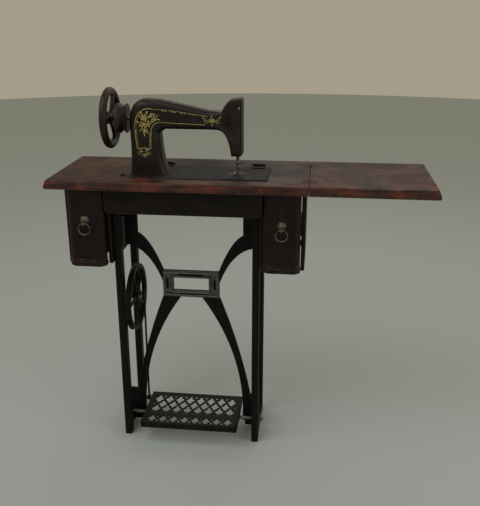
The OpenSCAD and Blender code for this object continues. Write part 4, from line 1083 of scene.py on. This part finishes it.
# ---- Take-up lever and thread tension ----
# A thin steel lever with an eye works through a slot in the head. Beside it a stud carries two
# pressed discs and a knurled nut, all gone nearly black with handling.
lever_path = np.concatenate([[(-34, -2.6), (-37, -3.2)], [(-57, -2.2)],
                             [(-60 + 4.3 * math.cos(a), 4.3 * math.sin(a))
                              for a in np.linspace(-0.45 * math.pi, -1.55 * math.pi, 14)],
                             [(-57, 2.2), (-37, 3.2), (-34, 2.6)]])[::-1]
eye_hole = [round_hole(-60, 0, 1.9, 16)]
take_up = laid(plate(lever_path, -5.5, -2.5, 0.7, eye_hole), "x")
pivot = laid(turned([(0, -6.5), (3, -6.5), (3, -1.4), (0, -1.4)], 16), "x")
piece("thread_take_up", joined(moved(take_up, (0, 0, 942)), moved(pivot, (0, -37, 942))), "take_up",
      dull_steel, ["take_up_lever"])
slot_rim = box_path((-8.6, 927), (-0.2, 952), 2.4, 4)
slot_lip = plate(slot_rim, 46.2, 47.5, 0.4)
piece("take_up_slot", laid(slot_lip, "y"), "head", black_steel_and_shade)
discs = [turned([(0, h), (8.4, h + s * 1.6), (8.9, h + s * 2.0, 1), (8.6, h + s * 2.3), (3.2, h + 1.2),
                 (0, h + 1.2)], 40) for h, s in ((52.2, -0.3), (54.4, 0.5))]
post = turned([(0, 40), (3, 40), (3, 66), (0, 66)], 20)
collar = turned([(0, 49), (5, 49), (5, 60), (0, 60)], 24)
post_at = (-36, 0, 906)
piece("tension_stack", moved(laid(joined(*discs, post, collar), "y"), post_at), "head",
      black_steel_and_shade, ["tension_discs"])
nut = turned([(3.1, 60.3), (5.6, 60.3), (6.5, 61.2, 1), (6.5, 67, 1), (5.6, 68), (3.1, 68)], 80,
             (20, [0, 0, 0.05, 0.05, 0, 0]))
piece("tension_thumb_nut", moved(laid(nut, "y"), post_at), "tension_nut", black_steel_and_shade,
      ["tension_nut"])


# ---- Gilding ----
# Gold transfers on the japan: a double arched border round a spray of leaves and flowers on
# the pillar, a scroll under it, a line along each edge of the arm and a knot of scrolls at its
# end. Each mark is a thin raised skin that follows the rounded casting.
gilt, gilt_tree, gilt_place = blank_material("worn gold transfer")
gilt_cloud = add(gilt_tree, "TexNoise", {"Vector": gilt_place, "Scale": 1 / 0.006, "Detail": 5,
                                         "Roughness": 0.7}).outputs[0]
gilt_colour = add(gilt_tree, "ValToRGB", {"Fac": gilt_cloud},
                  [(0.34, "#5a5130"), (0.47, "#a79a55"), (0.66, "#d2c584")]).outputs[0]
gilt_shader = add(gilt_tree, "BsdfPrincipled", {"Base Color": gilt_colour, "Metallic": 0.25,
                                                "Roughness": 0.50})
add(gilt_tree, "OutputMaterial", {"Surface": gilt_shader.outputs[0]})


def on_skin(path, lift):
    """Points of the arm's front that lie under a drawn path, raised by a lift."""
    return np.column_stack([path[:, 0], -skin_depth(path) - lift, path[:, 1]])


def stroke(path, width):
    """A brush stroke on the arm: five points across it at each point of the path, raised by
    0.25 mm in the middle and sunk at its edges. The width may change along it."""
    path = np.array(path, float)
    ahead = np.gradient(path, axis=0)
    ahead /= np.maximum(np.linalg.norm(ahead, axis=1, keepdims=True), 1e-9)
    left = np.stack([-ahead[:, 1], ahead[:, 0]], 1)
    half = np.broadcast_to(np.asarray(width, float) / 2, len(path))[:, None]
    across = [path + left * half * share for share in (1, 0.6, 0, -0.6, -1, 0)]
    lifts = (-0.1, 0.2, 0.28, 0.2, -0.1, -0.5)
    rows = np.stack([on_skin(p, lift) for p, lift in zip(across, lifts)], 1)
    n = len(path)
    k, i = np.arange(n - 1)[:, None] * 6, np.arange(6)[None]
    faces = np.stack([k + i, k + (i + 1) % 6, k + 6 + (i + 1) % 6, k + 6 + i], 2).reshape(-1, 4)
    ends = [np.arange(5, -1, -1)[None, :], (np.arange(6) + (n - 1) * 6)[None, :]]
    return rows.reshape(-1, 3), [faces, *ends], np.zeros(n * 6)


def leaf_shape(x, z, length, angle, width=0.42):
    """A pointed leaf: a stroke whose width follows half a sine along a slightly bent stem."""
    t = np.linspace(0, 1, 9)
    c, s = math.cos(math.radians(angle)), math.sin(math.radians(angle))
    along, bend = length * t, length * 0.12 * np.sin(math.pi * t)
    path = np.stack([x + along * c - bend * s, z + along * s + bend * c], 1)
    return stroke(path, length * width * np.sin(math.pi * np.clip(t, 0.02, 0.98)) + 0.15)


def scroll(x, z, size, start, turns, width, hand=1):
    """A spiral that shrinks evenly to a third of its size as it turns."""
    t = np.linspace(0, 1, 22)
    angle = math.radians(start) + hand * turns * 2 * math.pi * t
    radius = size * (1 - 0.72 * t)
    return stroke(np.stack([x + radius * np.cos(angle), z + radius * np.sin(angle)], 1),
                  width * (0.55 + 0.75 * t))


def rosette(x, z, size, petals, start):
    """Petals round a dot."""
    marks = [leaf_shape(x + size * 0.22 * math.cos(math.radians(start + 360 * k / petals)),
                        z + size * 0.22 * math.sin(math.radians(start + 360 * k / petals)),
                        size * 0.78, start + 360 * k / petals, 0.55) for k in range(petals)]
    dot = np.linspace(0, 2 * math.pi, 9)
    ring = np.stack([x + 0.16 * size * np.cos(dot), z + 0.16 * size * np.sin(dot)], 1)
    return [*marks, stroke(ring, size * 0.22)]


def smooth_line(points, steps):
    """A flowing line through a few points: each coordinate is a cubic blend of four of them."""
    p = np.array(points, float)
    p = np.concatenate([[2 * p[0] - p[1]], p, [2 * p[-1] - p[-2]]])
    u = np.linspace(0, len(p) - 3 - 1e-6, steps)
    k, t = u.astype(int), (u % 1)[:, None]
    a, b, c, d = p[k], p[k + 1], p[k + 2], p[k + 3]
    return 0.5 * (2 * b + (c - a) * t + (2 * a - 5 * b + 4 * c - d) * t ** 2
                  + (3 * b - a - 3 * c + d) * t ** 3)


border_lines = (
    ([(-266.5, 838), (-268.8, 860), (-270.4, 890), (-267.5, 912), (-258, 928), (-246, 936),
      (-233, 938), (-222, 936)], 60, 2.1),
    ([(-231.5, 838), (-230.6, 858), (-229.6, 880), (-226, 893), (-219, 900.5),
      (-209, 903.5)], 40, 2.1),
    ([(-263.2, 841), (-265.4, 862), (-266.8, 889), (-264.2, 909), (-256, 923.5)], 40, 0.9),
    ([(-234.6, 841), (-233.8, 860), (-232.8, 878)], 20, 0.9),
    ([(-268.5, 838), (-258, 836.4), (-249, 838.4), (-240, 836.4), (-229.8, 838)], 36, 3.0),
    ([(-222, 936), (-200, 935), (-165, 931.5), (-125, 925.5), (-84, 920)], 80, 1.2),
    ([(-209, 903.5), (-180, 902), (-140, 900.5), (-92, 899)], 60, 1.5))
marks = [stroke(smooth_line(points, steps), width) for points, steps, width in border_lines]
for x, z, size, petals, start in ((-247, 916, 10.5, 7, 12), (-238, 900, 10, 6, 0),
                                  (-253, 898, 9, 6, 30), (-221, 913, 8.5, 6, 20),
                                  (-245, 885, 7.5, 5, 10)):
    marks += rosette(x, z, size, petals, start)
for x, z, length, angle in ((-256, 917, 11, 118), (-252, 923, 11, 92), (-240, 922, 12, 64),
                            (-236, 915, 12, 24), (-232, 905, 10, -6), (-247, 886, 11, -104),
                            (-241, 884, 10, -72), (-253, 889, 10, -128), (-259, 905, 9, 164),
                            (-231, 920, 10, 42), (-226, 922, 9, 10), (-216, 917, 8, 40),
                            (-214, 911, 8, -16), (-247, 876, 8, -94)):
    marks.append(leaf_shape(x, z, length, angle))
stem = [(-246, 872), (-245, 890), (-243, 905), (-236, 915), (-222, 916)]
marks.append(stroke(smooth_line(stem, 40), 1.0))
for hand in (-1, 1):
    marks.append(scroll(-249 + hand * 11.5, 826, 5.6, 90 - hand * 60, 1.1, 1.6, -hand))
    marks.append(leaf_shape(-249 + hand * 2, 829, 11, 90 - hand * 62, 0.34))
    marks.append(leaf_shape(-249 + hand * 1, 826, 11, -90 + hand * 34, 0.34))
marks.append(leaf_shape(-249, 823, 10, -90, 0.4))
for x, way in ((-88, 1), (-60, -1)):
    marks.append(scroll(x, 908, 6.4, 90, 1.2, 1.7, way))
    marks.append(scroll(x + way * 9, 909.5, 4.6, -90, 1.1, 1.5, -way))
    marks.append(leaf_shape(x - way * 4, 914, 9, 90 + way * 50, 0.36))
marks += rosette(-74, 909, 7.4, 6, 0)
marks += [leaf_shape(-74, 915, 8, 90, 0.4), leaf_shape(-74, 903, 7, -90, 0.4)]
for x in (-196, -172, -148, -124):
    marks.append(leaf_shape(x, 935.2 - (x + 222) * 0.105, 8, 166, 0.30))
    marks.append(leaf_shape(x, 934.4 - (x + 222) * 0.105, 8, -14, 0.30))
piece("gold_transfers", joined(*marks), "head", gilt, crease=60)
